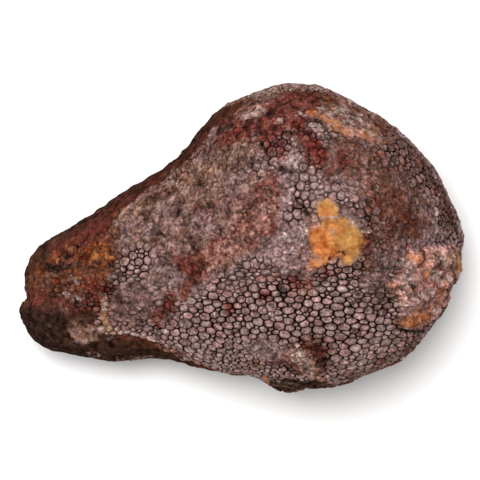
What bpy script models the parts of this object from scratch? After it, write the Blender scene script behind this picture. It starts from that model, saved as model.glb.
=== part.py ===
"""A pear-shaped fossil coral head, lying on its flattened underside.

Run with: blender --background --python part.py
Lengths in the tables are in millimetres; the model is in metres, with +Z up. The narrow end of
the pear points to -X. The origin is under the middle of the head, on the surface it lies on.
"""

import math
from typing import NamedTuple

import bmesh
import bpy
from mathutils import Vector, noise

MM = 0.001

# Driving dimensions, in millimetres.
HALF_LENGTH = 45.0
SPHERE_DIVISIONS = 5  # 5120 faces, each about 2.5 mm on a side
SHIFT_TO_BIG_END = 0.10  # moves the rings towards the big end, so that faces stay alike in size
SECTION_POWER = 2.25  # 2 is an ellipse; a little more squares the sections off
LUMP_HEIGHT = 0.7
LUMP_WIDTH = 13.0
STONE_COLOUR = (0.25, 0.15, 0.13, 1.0)
STONE_ROUGHNESS = 0.85


class Station(NamedTuple):
    """One section across the length: its two sides seen from above, its crown and its keel."""

    x: float
    near: float
    far: float
    crown: float
    keel: float


class Push(NamedTuple):
    """A local swelling or dent: points within reach of the centre move by up to the given step."""

    centre: tuple
    reach: float
    step: tuple


# The keel dips under the ground plane where the underside is worn flat.
STATIONS = (
    Station(-44.0, -17.5, -7.0, 13.0, 7.0),
    Station(-41.0, -21.0, -2.0, 17.0, 4.6),
    Station(-36.5, -23.5, 1.0, 20.0, 2.6),
    Station(-28.5, -25.0, 6.5, 24.0, 0.6),
    Station(-18.0, -25.5, 12.8, 29.5, -0.6),
    Station(-10.0, -26.5, 18.8, 34.5, -1.0),
    Station(-4.0, -27.5, 26.0, 38.5, -1.3),
    Station(4.0, -29.2, 29.8, 43.0, -1.5),
    Station(14.0, -31.0, 30.8, 47.0, -1.3),
    Station(23.0, -29.5, 27.6, 47.5, 0.2),
    Station(31.0, -26.0, 22.5, 43.5, 3.6),
    Station(37.0, -21.5, 16.5, 37.0, 7.6),
    Station(41.5, -15.0, 10.5, 29.0, 12.0),
    Station(44.0, -8.5, 2.5, 22.0, 15.5),
)
SMALL_TIP = (-45.0, -12.5, 10.0)
BIG_TIP = (45.0, -3.0, 18.5)

PUSHES = (
    Push((-45.0, -12.3, 11.5), 3.0, (2.6, 0.0, 0.0)),  # notch in the narrow end
    Push((-44.5, -16.5, 9.5), 4.0, (-1.0, 0.3, 0.0)),  # knob below the notch
    Push((8.5, -30.5, 14.0), 4.5, (0.0, -2.1, -0.6)),  # boss on the near side
    Push((-8.0, 21.5, 17.0), 4.0, (-0.4, 0.4, 0.0)),  # shoulder where the neck meets the big end
    Push((-31.0, 4.0, 14.0), 6.0, (0.0, -1.2, 0.0)),  # waist on the far side of the neck
    Push((44.5, -5.5, 20.0), 6.0, (0.9, 0.0, 0.0)),  # crust standing proud of the big end
    Push((18.0, 2.0, 47.0), 9.0, (0.0, 0.0, -0.8)),  # shallow dip on the crown
    Push((-22.0, -21.0, 24.0), 9.0, (0.0, 0.6, -1.6)),  # flank shaved back along the neck
)


def clear_scene():
    """Removes whatever the file opened with."""
    for obj in list(bpy.data.objects):
        bpy.data.objects.remove(obj)


def ring_share(x):
    """The sphere's own x, from -1 to 1, whose ring lands at this x along the head."""
    k = SHIFT_TO_BIG_END
    return (1 - math.sqrt(max(0.0, 1 - 4 * k * (x / HALF_LENGTH - k)))) / (2 * k)


def ring_radius(x):
    """The unit sphere's ring radius for the section at x."""
    return math.sqrt(max(1e-6, 1 - ring_share(x) ** 2))


def smooth_through(knots, x):
    """A smooth curve through the (x, value) knots, read at x and level beyond the last ones."""
    if x <= knots[0][0]:
        return knots[0][1]
    if x >= knots[-1][0]:
        return knots[-1][1]
    i = max(n for n in range(len(knots) - 1) if knots[n][0] <= x)
    (x0, v0), (x1, v1) = knots[i], knots[i + 1]

    def slope(n):
        a, b = knots[max(n - 1, 0)], knots[min(n + 1, len(knots) - 1)]
        return (b[1] - a[1]) / (b[0] - a[0])

    width = x1 - x0
    t = (x - x0) / width
    return (
        v0 * (1 + 2 * t) * (1 - t) ** 2
        + v1 * t * t * (3 - 2 * t)
        + width * (slope(i) * t * (1 - t) ** 2 - slope(i + 1) * t * t * (1 - t))
    )


def section_tables():
    """Centres and swollen half sizes of the sections, as knots along x."""
    ends = ((SMALL_TIP[0], SMALL_TIP[1:]), (BIG_TIP[0], BIG_TIP[1:]))
    centre_y = [(s.x, (s.near + s.far) / 2) for s in STATIONS]
    centre_z = [(s.x, (s.crown + s.keel) / 2) for s in STATIONS]
    for table, axis in ((centre_y, 0), (centre_z, 1)):
        table.insert(0, (ends[0][0], ends[0][1][axis]))
        table.append((ends[1][0], ends[1][1][axis]))
    half_y = [(s.x, (s.far - s.near) / 2 / ring_radius(s.x)) for s in STATIONS]
    half_z = [(s.x, (s.crown - s.keel) / 2 / ring_radius(s.x)) for s in STATIONS]
    return centre_y, centre_z, half_y, half_z


def squared(direction):
    """A point on the unit circle pushed out to the rounded square of SECTION_POWER."""
    c, s = (abs(v) ** SECTION_POWER for v in direction)
    grow = (c + s) ** (-1 / SECTION_POWER)
    return direction[0] * grow, direction[1] * grow


def on_the_head(unit, tables):
    """Where a point of the unit sphere goes on the head, in millimetres."""
    centre_y, centre_z, half_y, half_z = tables
    x = HALF_LENGTH * (unit.x + SHIFT_TO_BIG_END * (1 - unit.x**2))
    radius = math.hypot(unit.y, unit.z)
    turn = squared((unit.y / radius, unit.z / radius)) if radius > 1e-9 else (0.0, 0.0)
    return Vector(
        (
            x,
            smooth_through(centre_y, x) + radius * turn[0] * smooth_through(half_y, x),
            smooth_through(centre_z, x) + radius * turn[1] * smooth_through(half_z, x),
        )
    )


def pushed(point):
    """The point after every swelling and dent that reaches it."""
    for push in PUSHES:
        near = (point - Vector(push.centre)).length / push.reach
        point = point + Vector(push.step) * math.exp(-near * near)
    return point


def lumpy(point, outward):
    """The point after the gentle unevenness of the whole head."""
    return point + outward * LUMP_HEIGHT * noise.noise(point / LUMP_WIDTH)


def shape_head(bm):
    """Moves an icosphere's vertices onto the head, in millimetres."""
    tables = section_tables()
    for vert in bm.verts:
        outward = vert.co.normalized()
        vert.co = lumpy(pushed(on_the_head(outward, tables)), outward)


def cut_rest_face(bm):
    """Cuts the keel off at the ground plane and closes it with one flat face."""
    cut = bmesh.ops.bisect_plane(
        bm,
        geom=list(bm.verts) + list(bm.edges) + list(bm.faces),
        dist=1e-4,
        plane_co=(0, 0, 0),
        plane_no=(0, 0, 1),
        clear_inner=True,
    )
    rim = [e for e in cut["geom_cut"] if isinstance(e, bmesh.types.BMEdge)]
    bmesh.ops.contextual_create(bm, geom=rim)
    bmesh.ops.recalc_face_normals(bm, faces=list(bm.faces))


def centre_over_origin(bm):
    """Slides the head along the ground until its box is centred on the origin."""
    for axis in (0, 1):
        places = [v.co[axis] for v in bm.verts]
        middle = (min(places) + max(places)) / 2
        for vert in bm.verts:
            vert.co[axis] -= middle


def stone_material():
    """Plain iron-stained limestone."""
    material = bpy.data.materials.new("iron_stained_limestone")
    material.use_nodes = True
    surface = material.node_tree.nodes["Principled BSDF"]
    surface.inputs["Base Color"].default_value = STONE_COLOUR
    surface.inputs["Roughness"].default_value = STONE_ROUGHNESS
    surface.inputs["Metallic"].default_value = 0.0
    material.diffuse_color = STONE_COLOUR
    return material


def build_coral_head(collection):
    """The whole fossil: one solid, because the colony grew and turned to stone as one piece."""
    bpy.ops.mesh.primitive_ico_sphere_add(subdivisions=SPHERE_DIVISIONS, radius=1.0)
    head = bpy.context.object
    head.name = "coral_head"
    head.data.name = "coral_head"
    bm = bmesh.new()
    bm.from_mesh(head.data)
    shape_head(bm)
    cut_rest_face(bm)
    centre_over_origin(bm)
    bmesh.ops.scale(bm, vec=(MM, MM, MM), verts=list(bm.verts))
    bm.to_mesh(head.data)
    bm.free()
    head.data.shade_smooth()
    head.data.materials.append(stone_material())
    for old in list(head.users_collection):
        old.objects.unlink(head)
    collection.objects.link(head)


def main():
    clear_scene()
    collection = bpy.data.collections.new("fossil_coral_head")
    bpy.context.scene.collection.children.link(collection)
    build_coral_head(collection)


main()
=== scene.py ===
"""Looks of a fossil coral head: a net of stone cells, its worn, stained and crusted places, and the
pale table that it lies on.

The head is shaped in millimetres and made metres at the end. Places on it are given as an eye above
it sees them, in millimetres on a plane through its widest part, and are dropped from there onto it.
"""

from __future__ import annotations

import logging
import math
import random
from dataclasses import dataclass, field
from enum import Enum
from typing import ClassVar

import bmesh
import bpy
import numpy as np
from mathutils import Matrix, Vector, noise
from mathutils.bvhtree import BVHTree

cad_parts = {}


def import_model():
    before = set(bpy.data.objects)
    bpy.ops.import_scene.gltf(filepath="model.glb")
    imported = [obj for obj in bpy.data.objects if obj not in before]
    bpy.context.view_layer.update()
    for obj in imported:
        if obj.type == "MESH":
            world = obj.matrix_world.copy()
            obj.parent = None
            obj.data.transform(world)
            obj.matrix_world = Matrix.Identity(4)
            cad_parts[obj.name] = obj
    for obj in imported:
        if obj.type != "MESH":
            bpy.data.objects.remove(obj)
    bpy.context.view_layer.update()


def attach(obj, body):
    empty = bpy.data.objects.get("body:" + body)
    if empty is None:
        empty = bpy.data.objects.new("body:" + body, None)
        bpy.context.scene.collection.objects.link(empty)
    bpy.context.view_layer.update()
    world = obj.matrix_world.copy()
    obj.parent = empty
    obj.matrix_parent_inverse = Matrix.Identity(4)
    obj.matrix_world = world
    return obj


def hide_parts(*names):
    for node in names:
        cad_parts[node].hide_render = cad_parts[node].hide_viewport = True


LOG = logging.getLogger("coral_head")
NODE = "coral_head"
MM = 0.001
SIGHT_PLANE_MM = 18.0  # height of the head's widest part
VIEW_MM = 97.73  # what the camera sees of the sight plane, from side to side
LENS_MM, SENSOR_MM = 550.0, 36.0
EYE_MM = Vector((-0.43, -0.8, SIGHT_PLANE_MM + LENS_MM * VIEW_MM / SENSOR_MM))  # where the camera is

SEED_STEPS = (31.7, -17.3, 7.9)  # how far along each axis one seed's noise lies from the next one's
FROM, TO = ("From Min", "From Max"), ("To Min", "To Max")  # ends of a range, and what they become

Place = tuple[float, float]
Swell = tuple[float, float, int]  # the share, the size in millimetres and the seed of a smooth noise
Socket = bpy.types.NodeSocket
Noise = dict[str, float]  # how fine and how harsh a noise's smaller patterns are


class Layer(Enum):
    """What can lie on the stone, each with an amount of its own at every point."""

    FULL = "full"  # the head is fuller than its plain form
    LEAN = "lean"  # the head is leaner
    LARGE = "large"  # full-grown cells
    SMALL = "small"  # young cells
    OPEN = "open"  # cells left as little cups
    FILLED = "filled"  # cells whose grooves are partly filled
    WORN = "worn"  # cells rubbed down to a grainy matrix
    SKIN = "skin"  # the wrinkled skin that closes the colony's flanks and underside
    CRUST = "crust"  # knobs of crystals grown over the cells
    LILAC = "lilac"  # greyish silica
    TAN = "tan"  # bleached silica
    PINK = "pink"  # silica tinged with iron
    PALE = "pale"  # clear crystals, and painted glints on the crust
    BROWN = "brown"  # earth, and painted shade along rims and edges
    RUST = "rust"  # orange-brown iron
    MAROON = "maroon"  # dark red iron
    STRAW = "straw"  # a yellow iron paste
    OCHRE = "ochre"  # an orange iron paste
    SOOT = "soot"  # near-black gaps and moss, and painted shade and shadow


@dataclass(frozen=True)
class Stroke:
    """One brush stroke of a layer: its half width, its strength and the places it runs through."""

    layer: Layer
    radius: float
    strength: float
    route: tuple[Place, ...]


# Each feature's strokes by layer: half width and strength, then the places along it, all but the
# strength in millimetres.
FEATURES: dict[str, dict[Layer, tuple[tuple[float | Place, ...], ...]]] = {
    "how large the cells are": {
        Layer.LARGE: (
            (6.9, 1.0, (-14.7, -22.2), (-3.5, -16.7), (11.8, -15.5), (20.9, -17.5), (31.1, -21.2)),
        ),
        Layer.SMALL: (
            (6.9, 0.45, (9.8, 21.6), (20.9, 17.5), (31.1, 9.4), (37.2, 1.2)),
            (4.9, 0.6, (11.8, 9.4), (20.9, 6.3)), (4.1, 0.9, (28.1, -0.8), (28.9, -9.4)),
            (4.9, 0.8, (-41.1, -11.0), (-34.0, -13.0), (-28.9, -13.0)),
            (3.7, 0.4, (11.8, -28.9), (-0.4, -27.7)),
        ),
    },
    "cells left as open cups": {
        Layer.OPEN: (
            (6.9, 1.0, (23.0, 17.5), (32.1, 8.4), (37.2, -0.8)),
            (4.1, 1.0, (25.6, -5.3), (29.7, -5.3), (28.9, -11.0)),
            (3.3, 0.45, (27.1, -13.0), (19.9, -11.4)), (3.7, 0.5, (8.7, 21.6), (11.8, 17.5)),
            (4.5, 0.7, (-39.1, -11.4), (-30.6, -8.9)), (2.0, 0.5, (-22.8, -16.1), (-10.6, -19.1)),
            (2.4, 0.7, (17.9, 22.6), (22.0, 23.2)),
        ),
    },
    "the saddle between the narrow end and the dome, rubbed down to grains": {
        Layer.WORN: (
            (3.5, 1.0, (-24.5, 0.8), (-21.8, 5.3), (-15.7, 9.4)),
            (5.3, 1.0, (-16.7, 2.9), (-9.6, 9.4), (-3.5, 15.5)), (3.3, 0.6, (-5.5, -2.8), (0.6, 0.2)),
            (4.5, 1.0, (-14.7, -1.8), (-7.6, 2.3), (-0.8, 9.4)),
            (3.3, 1.0, (-16.7, -6.5), (-10.6, -5.3), (-5.5, -4.5)),
            (3.7, 0.9, (-23.2, -12.2), (-18.8, -11.0), (-14.3, -9.8)),
            (3.1, 0.75, (-26.5, -15.5), (-21.8, -16.3), (-16.7, -15.9)),
            (2.9, 1.0, (-25.3, -0.4), (-23.2, 0.8)), (2.4, 0.45, (-16.7, -17.5), (-10.6, -16.7)),
            (2.9, 0.5, (-3.5, -11.0), (-0.4, -8.9)), (2.6, 1.0, (-5.5, 17.1), (-1.4, 18.5), (2.0, 17.5)),
            (2.4, 0.8, (1.6, 9.4), (2.0, 2.3)),
        ),
        Layer.PALE: (
            (2.0, 0.24, (-7.6, 15.5), (-2.5, 17.5)), (2.4, 0.42, (-18.3, -10.6), (-14.3, -9.8)),
            (0.61, 0.95, (-19.6, -0.2), (-18.3, 2.1)), (0.41, 0.5, (-13.1, 13.0), (-11.4, 14.3)),
            (0.41, 0.5, (-15.1, 6.5), (-14.3, 7.3)), (0.61, 0.6, (-17.5, 6.3), (-16.7, 5.5)),
            (1.0, 0.4, (-14.3, 11.4), (-13.3, 10.6)), (0.61, 0.45, (-3.5, 1.0), (-2.7, 0.2)),
            (0.61, 0.3, (-22.8, -5.3), (-21.6, -6.9)), (0.51, 0.4, (-7.6, 0.0), (-6.5, -0.4)),
        ),
        Layer.TAN: (
            (3.7, 0.52, (-7.6, 10.4), (-2.1, 15.9)), (2.0, 0.6, (-2.1, 19.6), (1.2, 18.3)),
            (2.2, 0.4, (-20.8, -1.2), (-14.7, 0.0)), (1.8, 0.7, (-15.7, 11.0), (-12.6, 11.8)),
            (2.0, 0.7, (-7.6, 13.0), (-3.5, 15.5)), (1.4, 0.5, (-8.6, 7.3), (-4.5, 8.2)),
        ),
        Layer.LILAC: (
            (2.2, 0.5, (-19.2, -5.3), (-13.7, -7.9)), (1.6, 0.45, (-24.5, 0.2), (-22.4, 2.9)),
            (2.9, 0.35, (-2.5, 12.4), (0.8, 6.3)), (1.2, 0.9, (-3.7, 0.8), (-2.5, 0.0)),
            (1.6, 0.6, (-9.0, 3.7), (-6.9, 2.9)),
        ),
        Layer.BROWN: (
            (1.4, 0.7, (-18.8, 7.8), (-15.1, 9.4)), (1.2, 0.6, (-9.4, 11.0), (-7.4, 11.4)),
            (1.4, 0.6, (-14.3, 13.0), (-11.8, 15.5)), (1.2, 0.5, (-20.4, 1.6), (-18.8, 2.9)),
            (1.2, 0.5, (-11.4, 7.3), (-8.6, 6.1)), (1.4, 0.45, (-13.5, -0.8), (-11.0, 0.0)),
        ),
        Layer.SOOT: (
            (1.0, 0.5, (-18.3, 8.4), (-16.7, 7.3)), (0.8, 0.5, (-9.4, 11.0), (-8.0, 10.6)),
            (0.8, 0.45, (-13.5, 4.1), (-11.8, 2.9)), (0.61, 0.6, (-11.2, 0.0), (-10.0, -1.2)),
            (0.71, 0.8, (2.0, 15.9), (1.6, 13.9)), (0.41, 0.9, (-10.6, -1.4), (-9.4, -3.0)),
            (0.41, 0.6, (-13.5, 4.9), (-11.8, 5.7)), (0.33, 0.6, (-16.7, 0.8), (-15.5, 0.0)),
            (0.41, 0.5, (-5.7, 12.2), (-4.1, 11.0)),
        ),
        Layer.MAROON: ((1.8, 0.35, (-8.6, 4.9), (-2.1, 6.1)),),
    },
    "the smooth halo of the ochre patch": {
        Layer.WORN: (
            (3.3, 1.0, (5.7, -1.2), (11.0, 0.4), (12.2, -3.7)), (2.2, 0.9, (7.7, -5.7), (13.4, -6.5)),
            (1.8, 0.8, (21.2, 4.5), (24.8, 1.2)), (1.8, 0.9, (13.4, 4.9), (13.0, 2.1)),
        ),
        Layer.PALE: (
            (1.0, 0.5, (21.6, 4.1), (24.8, 1.2)), (0.8, 0.6, (13.0, 2.5), (12.4, -1.6)),
            (1.8, 0.45, (8.5, -0.4), (12.2, 0.8)),
            (0.33, 0.8, (9.3, -3.4), (10.2, -2.6), (12.4, -1.4), (13.6, 1.6)),
            (0.29, 0.7, (5.1, -2.6), (7.3, -4.1), (8.9, -5.1)), (0.41, 0.9, (8.3, 0.6), (9.1, -0.2)),
            (0.33, 0.7, (24.4, 0.8), (27.7, 1.4)),
        ),
        Layer.LILAC: (
            (3.7, 1.0, (6.1, -0.8), (11.8, -0.8)), (2.0, 0.7, (4.0, -4.5), (8.7, -6.5)),
            (2.0, 0.7, (9.8, 6.3), (12.8, 2.9)), (1.2, 0.7, (20.9, 4.9), (24.4, 1.2)),
        ),
        Layer.TAN: ((0.61, 0.5, (7.3, -1.6), (8.5, -0.8)),),
    },
    "the ochre patch": {
        Layer.STRAW: (
            (3.1, 1.0, (17.5, -0.4), (19.9, -1.2)), (2.0, 0.95, (17.1, 6.1), (17.5, 5.1)),
            (2.4, 1.0, (20.7, 0.8), (22.4, -1.2), (21.6, -3.2)), (1.6, 0.9, (17.5, 2.1), (20.3, 2.1)),
        ),
        Layer.PINK: (
            (1.2, 0.9, (14.2, 3.7), (19.9, 3.7)),
            (1.2, 0.8, (13.6, 1.6), (13.0, -2.0), (14.2, -5.3), (17.1, -6.5)),
        ),
        Layer.OCHRE: (
            (2.2, 0.95, (15.7, 0.0), (16.1, -2.4)), (1.8, 0.85, (18.3, -3.2), (16.7, -4.1)),
            (1.0, 0.7, (18.9, 2.1), (19.5, 1.0)), (1.0, 0.5, (15.9, 5.1), (17.9, 4.7)),
            (1.0, 0.65, (14.6, -5.5), (16.1, -5.7)),
        ),
        Layer.PALE: (
            (0.45, 0.6, (14.4, 3.5), (16.3, 3.9), (19.1, 3.9)), (0.53, 0.6, (18.1, 1.4), (18.7, 0.2)),
            (0.61, 0.5, (12.8, 1.6), (12.4, -1.6), (14.0, -4.3)), (0.61, 0.5, (22.0, -5.7), (24.4, -4.3)),
            (0.33, 0.6, (23.2, -2.8), (24.0, -4.9)),
        ),
        Layer.SOOT: ((0.37, 0.7, (17.7, -4.9), (18.5, -3.9), (20.1, -3.0), (20.7, -3.9)),),
    },
    "stains down the middle of the head": {
        Layer.MAROON: (
            (2.1, 0.77, (6.1, 11.8), (5.7, 7.3), (4.0, 2.9)),
            (2.6, 0.93, (-8.0, -4.5), (-2.1, -1.2), (4.0, 2.1)), (2.1, 0.55, (1.2, 6.1), (-0.4, 1.6)),
            (1.9, 0.95, (-12.0, -5.3), (-10.2, -8.5)), (1.1, 0.95, (-11.4, -10.2), (-11.2, -12.2)),
            (1.3, 1.0, (-14.7, -11.8), (-14.1, -13.6), (-16.7, -15.5)),
            (0.79, 0.85, (-17.7, -16.7), (-17.1, -18.7)), (1.1, 1.0, (-2.9, -14.4), (-2.7, -15.5)),
            (0.9, 1.0, (4.0, -12.4), (5.3, -12.6)), (1.3, 0.8, (10.4, -9.1), (13.6, -8.7)),
            (1.1, 0.65, (16.9, -8.1), (19.9, -7.3)), (1.6, 0.5, (4.7, -7.9), (8.1, -9.4)),
        ),
        Layer.RUST: (
            (1.9, 0.77, (5.3, 9.4), (5.7, 6.9), (4.0, 3.3)), (1.9, 0.65, (-6.1, -3.2), (1.6, -0.8)),
            (3.2, 0.51, (4.5, 9.4), (2.8, 2.9), (-3.3, -2.0)),
            (1.6, 0.65, (-11.0, -5.3), (-8.6, -4.5), (-9.4, -7.3)),
            (1.3, 0.95, (-7.6, -5.3), (-6.3, -4.5)), (1.3, 0.6, (11.0, -10.6), (13.4, -10.2)),
        ),
        Layer.PALE: (
            (1.4, 0.3, (-6.5, -4.1), (-1.4, -1.6), (4.0, 2.5)), (1.4, 0.4, (5.3, 9.4), (4.9, 5.3)),
        ),
        Layer.PINK: (
            (2.6, 0.68, (-6.9, -4.1), (-1.2, -1.2), (4.0, 2.9)), (1.6, 0.45, (5.7, 10.2), (5.3, 5.7)),
            (1.8, 0.42, (-3.3, 2.9), (-0.4, 4.5)), (1.0, 0.7, (11.0, -11.4), (13.8, -11.0)),
        ),
        Layer.TAN: ((1.6, 0.4, (4.0, 4.3), (2.0, 0.2)),),
    },
    "grey cells merged and blackened": {
        Layer.LILAC: ((1.4, 0.85, (4.0, -15.1), (6.1, -16.7)),),
        Layer.WORN: ((1.2, 0.6, (3.8, -15.1), (6.1, -16.3)),),
        Layer.SOOT: (
            (1.1, 0.85, (7.7, -11.0), (8.1, -11.4)), (0.33, 0.8, (7.5, -21.0), (7.9, -21.2)),
            (0.61, 0.5, (20.9, -13.4), (22.4, -14.6)), (0.61, 0.4, (26.4, -14.2), (28.1, -15.1)),
        ),
    },
    "the maroon top of the dome": {
        Layer.MAROON: (
            (1.9, 1.0, (-4.1, 19.2), (-0.4, 21.2), (4.0, 21.8)),
            (3.4, 1.0, (4.0, 24.4), (8.7, 26.5), (12.8, 27.3)), (2.6, 0.9, (8.7, 22.8), (13.4, 21.2)),
            (2.4, 1.0, (13.4, 20.0), (14.6, 16.3)), (2.1, 0.75, (6.9, 17.5), (5.3, 19.6)),
            (2.9, 1.0, (4.0, 22.8), (8.5, 21.6)), (2.1, 1.0, (-1.2, 22.4), (4.5, 23.2)),
        ),
        Layer.RUST: (
            (1.6, 0.9, (14.2, 19.2), (15.0, 16.1)), (2.1, 0.6, (0.8, 22.4), (6.9, 23.2), (11.8, 22.4)),
            (1.1, 0.65, (8.3, 24.4), (10.2, 25.3)), (2.9, 0.7, (16.9, 27.3), (22.4, 25.7), (28.1, 22.4)),
        ),
        Layer.BROWN: (
            (2.4, 1.0, (8.1, 28.9), (12.8, 28.9), (18.3, 28.1)), (2.1, 0.85, (-0.4, 26.9), (4.0, 28.5)),
            (1.9, 0.95, (-2.5, 23.6), (0.0, 26.5), (4.0, 27.9)), (2.1, 0.55, (29.1, 20.0), (32.1, 17.1)),
        ),
        Layer.TAN: (
            (2.0, 0.6, (17.9, 25.3), (24.8, 22.4)), (0.8, 0.8, (-3.3, 26.9), (0.4, 28.5)),
            (1.0, 0.8, (4.5, 29.5), (8.7, 30.4), (14.2, 29.7)),
        ),
        Layer.PALE: (
            (1.2, 0.7, (2.0, 29.3), (4.9, 29.9)), (1.6, 0.55, (0.4, 24.4), (3.4, 25.7)),
            (0.49, 0.7, (11.4, 25.3), (12.2, 24.4)), (0.49, 0.7, (7.3, 23.4), (8.1, 23.8)),
        ),
        Layer.PINK: ((1.8, 1.0, (0.4, 24.4), (3.4, 25.7)),),
        Layer.SOOT: ((0.61, 0.45, (8.5, 29.9), (15.5, 29.9)),),
        Layer.LILAC: ((0.8, 0.5, (11.8, 26.1), (12.6, 25.3)),),
    },
    "ochre streaks and a pale knob below them": {
        Layer.TAN: ((1.8, 0.8, (13.4, 25.3), (18.9, 23.2), (27.1, 20.4)),),
        Layer.PALE: (
            (2.4, 0.5, (16.9, 26.5), (22.4, 24.4), (27.7, 21.2)), (1.0, 0.75, (14.6, 22.8), (15.7, 21.8)),
        ),
        Layer.PINK: ((1.4, 0.8, (16.3, 24.0), (22.0, 21.4), (26.4, 20.0)),),
        Layer.OCHRE: (
            (0.61, 0.62, (13.6, 25.3), (14.8, 25.1)), (0.51, 0.5, (15.7, 24.2), (17.7, 23.4)),
            (0.8, 0.5, (18.9, 22.0), (21.2, 21.2)), (0.61, 0.52, (23.8, 20.8), (26.0, 20.0)),
        ),
        Layer.STRAW: ((0.8, 0.55, (24.8, 21.6), (27.5, 20.8)), (0.61, 0.5, (16.3, 24.2), (19.9, 22.8))),
        Layer.SOOT: (
            (0.37, 0.95, (15.0, 23.8), (16.3, 23.0), (17.3, 21.8)),
            (0.41, 0.6, (21.2, 23.0), (21.8, 22.8)),
        ),
    },
    "the loose cells beside the pale crystals": {
        Layer.SOOT: (
            (0.41, 0.9, (3.4, 19.4), (4.9, 17.5)), (0.41, 0.8, (5.3, 14.9), (6.3, 14.1)),
            (0.8, 0.8, (7.9, 13.9), (9.5, 13.2)), (0.41, 1.0, (11.0, 7.3), (12.2, 5.9), (13.8, 4.1)),
        ),
        Layer.PALE: ((1.1, 0.95, (10.2, 16.5), (10.8, 15.1)), (0.61, 0.7, (8.9, 14.7), (10.0, 15.7))),
        Layer.LILAC: (
            (2.0, 0.45, (8.3, 11.4), (11.8, 9.0)), (1.8, 0.6, (15.5, 11.4), (18.7, 9.4)),
            (1.6, 0.6, (7.3, 15.5), (9.8, 12.4)),
        ),
    },
    "the brown right flank": {
        Layer.BROWN: (
            (5.3, 0.62, (20.9, 17.5), (29.1, 14.5), (34.2, 8.4)), (4.2, 0.9, (27.1, 6.3), (32.1, 5.7)),
            (4.0, 0.65, (27.3, 0.0), (34.2, 1.6)), (2.4, 0.85, (25.4, -0.4), (25.8, -5.3)),
            (3.4, 0.57, (26.4, -5.3), (29.3, -7.3), (28.9, -13.0)),
            (2.1, 0.6, (31.1, 17.5), (36.2, 11.4)),
        ),
        Layer.RUST: ((4.8, 0.43, (22.0, 15.5), (29.1, 9.4), (33.2, 2.3)),),
        Layer.TAN: ((2.9, 0.4, (28.1, -0.8), (33.2, 0.8)), (1.4, 0.4, (28.1, 19.6), (31.7, 16.5))),
        Layer.MAROON: (
            (1.6, 0.65, (18.9, 13.9), (20.9, 15.1)), (1.3, 0.75, (25.0, 0.0), (25.2, -2.8)),
            (1.6, 0.55, (32.1, 2.9), (37.2, 2.1)),
        ),
        Layer.LILAC: (
            (0.71, 0.95, (38.3, 5.9), (38.7, 3.9)), (0.61, 0.9, (41.5, 1.2), (42.3, -0.4)),
            (1.2, 0.75, (35.8, -1.8), (40.3, -1.6), (43.5, -2.0)), (0.8, 0.6, (31.7, -5.3), (31.3, -8.1)),
            (2.0, 0.4, (34.6, 9.4), (38.3, 2.9)),
        ),
        Layer.SOOT: ((0.8, 0.35, (39.1, 11.8), (41.5, 6.3)),),
    },
    "the crust on the right end": {
        Layer.CRUST: (
            (2.6, 1.0, (35.0, -5.3), (39.1, -4.5), (42.7, -4.3)),
            (3.1, 1.0, (35.4, -8.9), (39.5, -8.9), (42.3, -8.1)),
            (2.9, 1.0, (34.2, -12.6), (38.3, -13.0), (40.9, -12.2)),
            (2.2, 1.0, (33.8, -16.7), (36.6, -16.7), (39.1, -14.6)),
            (1.6, 0.85, (30.5, -10.2), (32.1, -11.0)), (2.4, 1.0, (33.4, -8.1), (33.0, -11.0)),
            (1.2, 1.0, (43.5, -4.1), (44.2, -6.9)),
        ),
        Layer.LEAN: ((2.9, 0.9, (44.8, -2.8), (44.8, -7.3), (42.7, -11.4)),),
        Layer.TAN: ((1.6, 0.9, (34.2, -4.5), (36.2, -5.3)),),
        Layer.OCHRE: (
            (1.2, 0.5, (34.2, -4.3), (35.6, -5.1)), (0.61, 0.45, (39.9, -9.4), (39.5, -12.2)),
            (0.61, 0.4, (36.2, -6.1), (37.0, -7.7)),
            (1.4, 0.48, (33.2, -17.3), (35.0, -16.7), (36.6, -15.9)),
            (0.61, 0.45, (29.9, -9.8), (30.7, -10.4)),
        ),
        Layer.STRAW: (
            (1.0, 0.7, (43.5, -3.4), (44.2, -6.9)), (0.71, 0.5, (41.9, -9.4), (41.1, -11.4)),
            (0.71, 0.55, (34.2, -13.8), (35.0, -14.8)), (0.61, 0.4, (37.0, -7.3), (36.4, -8.9)),
            (1.0, 0.45, (40.7, -4.1), (42.7, -5.3)), (0.61, 0.6, (36.2, -18.1), (37.6, -17.5)),
        ),
        Layer.BROWN: ((1.6, 0.7, (33.0, -17.1), (36.6, -16.5)), (1.6, 0.6, (41.5, -6.1), (42.7, -9.8))),
        Layer.RUST: ((1.6, 0.5, (33.4, -17.5), (37.0, -17.1)),),
        Layer.SOOT: (
            (0.61, 0.5, (37.8, -6.7), (38.7, -5.7), (39.7, -5.3)),
            (0.61, 0.4, (39.7, -6.9), (39.9, -8.1)), (0.41, 0.6, (41.1, -5.9), (42.5, -5.5)),
            (0.45, 0.75, (34.0, -10.2), (34.4, -10.6)), (0.51, 0.55, (36.2, -13.2), (37.4, -12.4)),
            (0.51, 0.4, (37.8, -14.4), (38.7, -13.4)), (0.41, 0.6, (41.5, -8.1), (42.3, -9.8)),
            (0.41, 0.55, (40.3, -13.8), (39.7, -15.7)),
            # painted shadow under the crust's lower edge
            (0.41, 1.0, (31.7, -19.1), (34.6, -19.7), (37.6, -19.7)),
            (0.51, 0.7, (38.9, -16.7), (37.8, -18.3)),
        ),
        Layer.MAROON: (
            (1.0, 0.9, (37.2, -7.3), (39.5, -6.5)), (0.8, 0.9, (36.4, -13.2), (38.3, -11.4)),
            (1.6, 0.6, (41.1, -12.6), (39.9, -15.5)), (1.4, 0.75, (37.0, -9.4), (38.5, -11.0)),
            (1.0, 0.8, (39.1, -11.4), (40.7, -10.6)),
        ),
        # white crystals, and painted glints on the crust's knobs
        Layer.PALE: (
            (0.8, 1.0, (38.1, -7.5), (38.7, -9.1)),
            (1.6, 0.55, (33.2, -6.5), (32.8, -10.2), (33.8, -13.8)),
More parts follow.
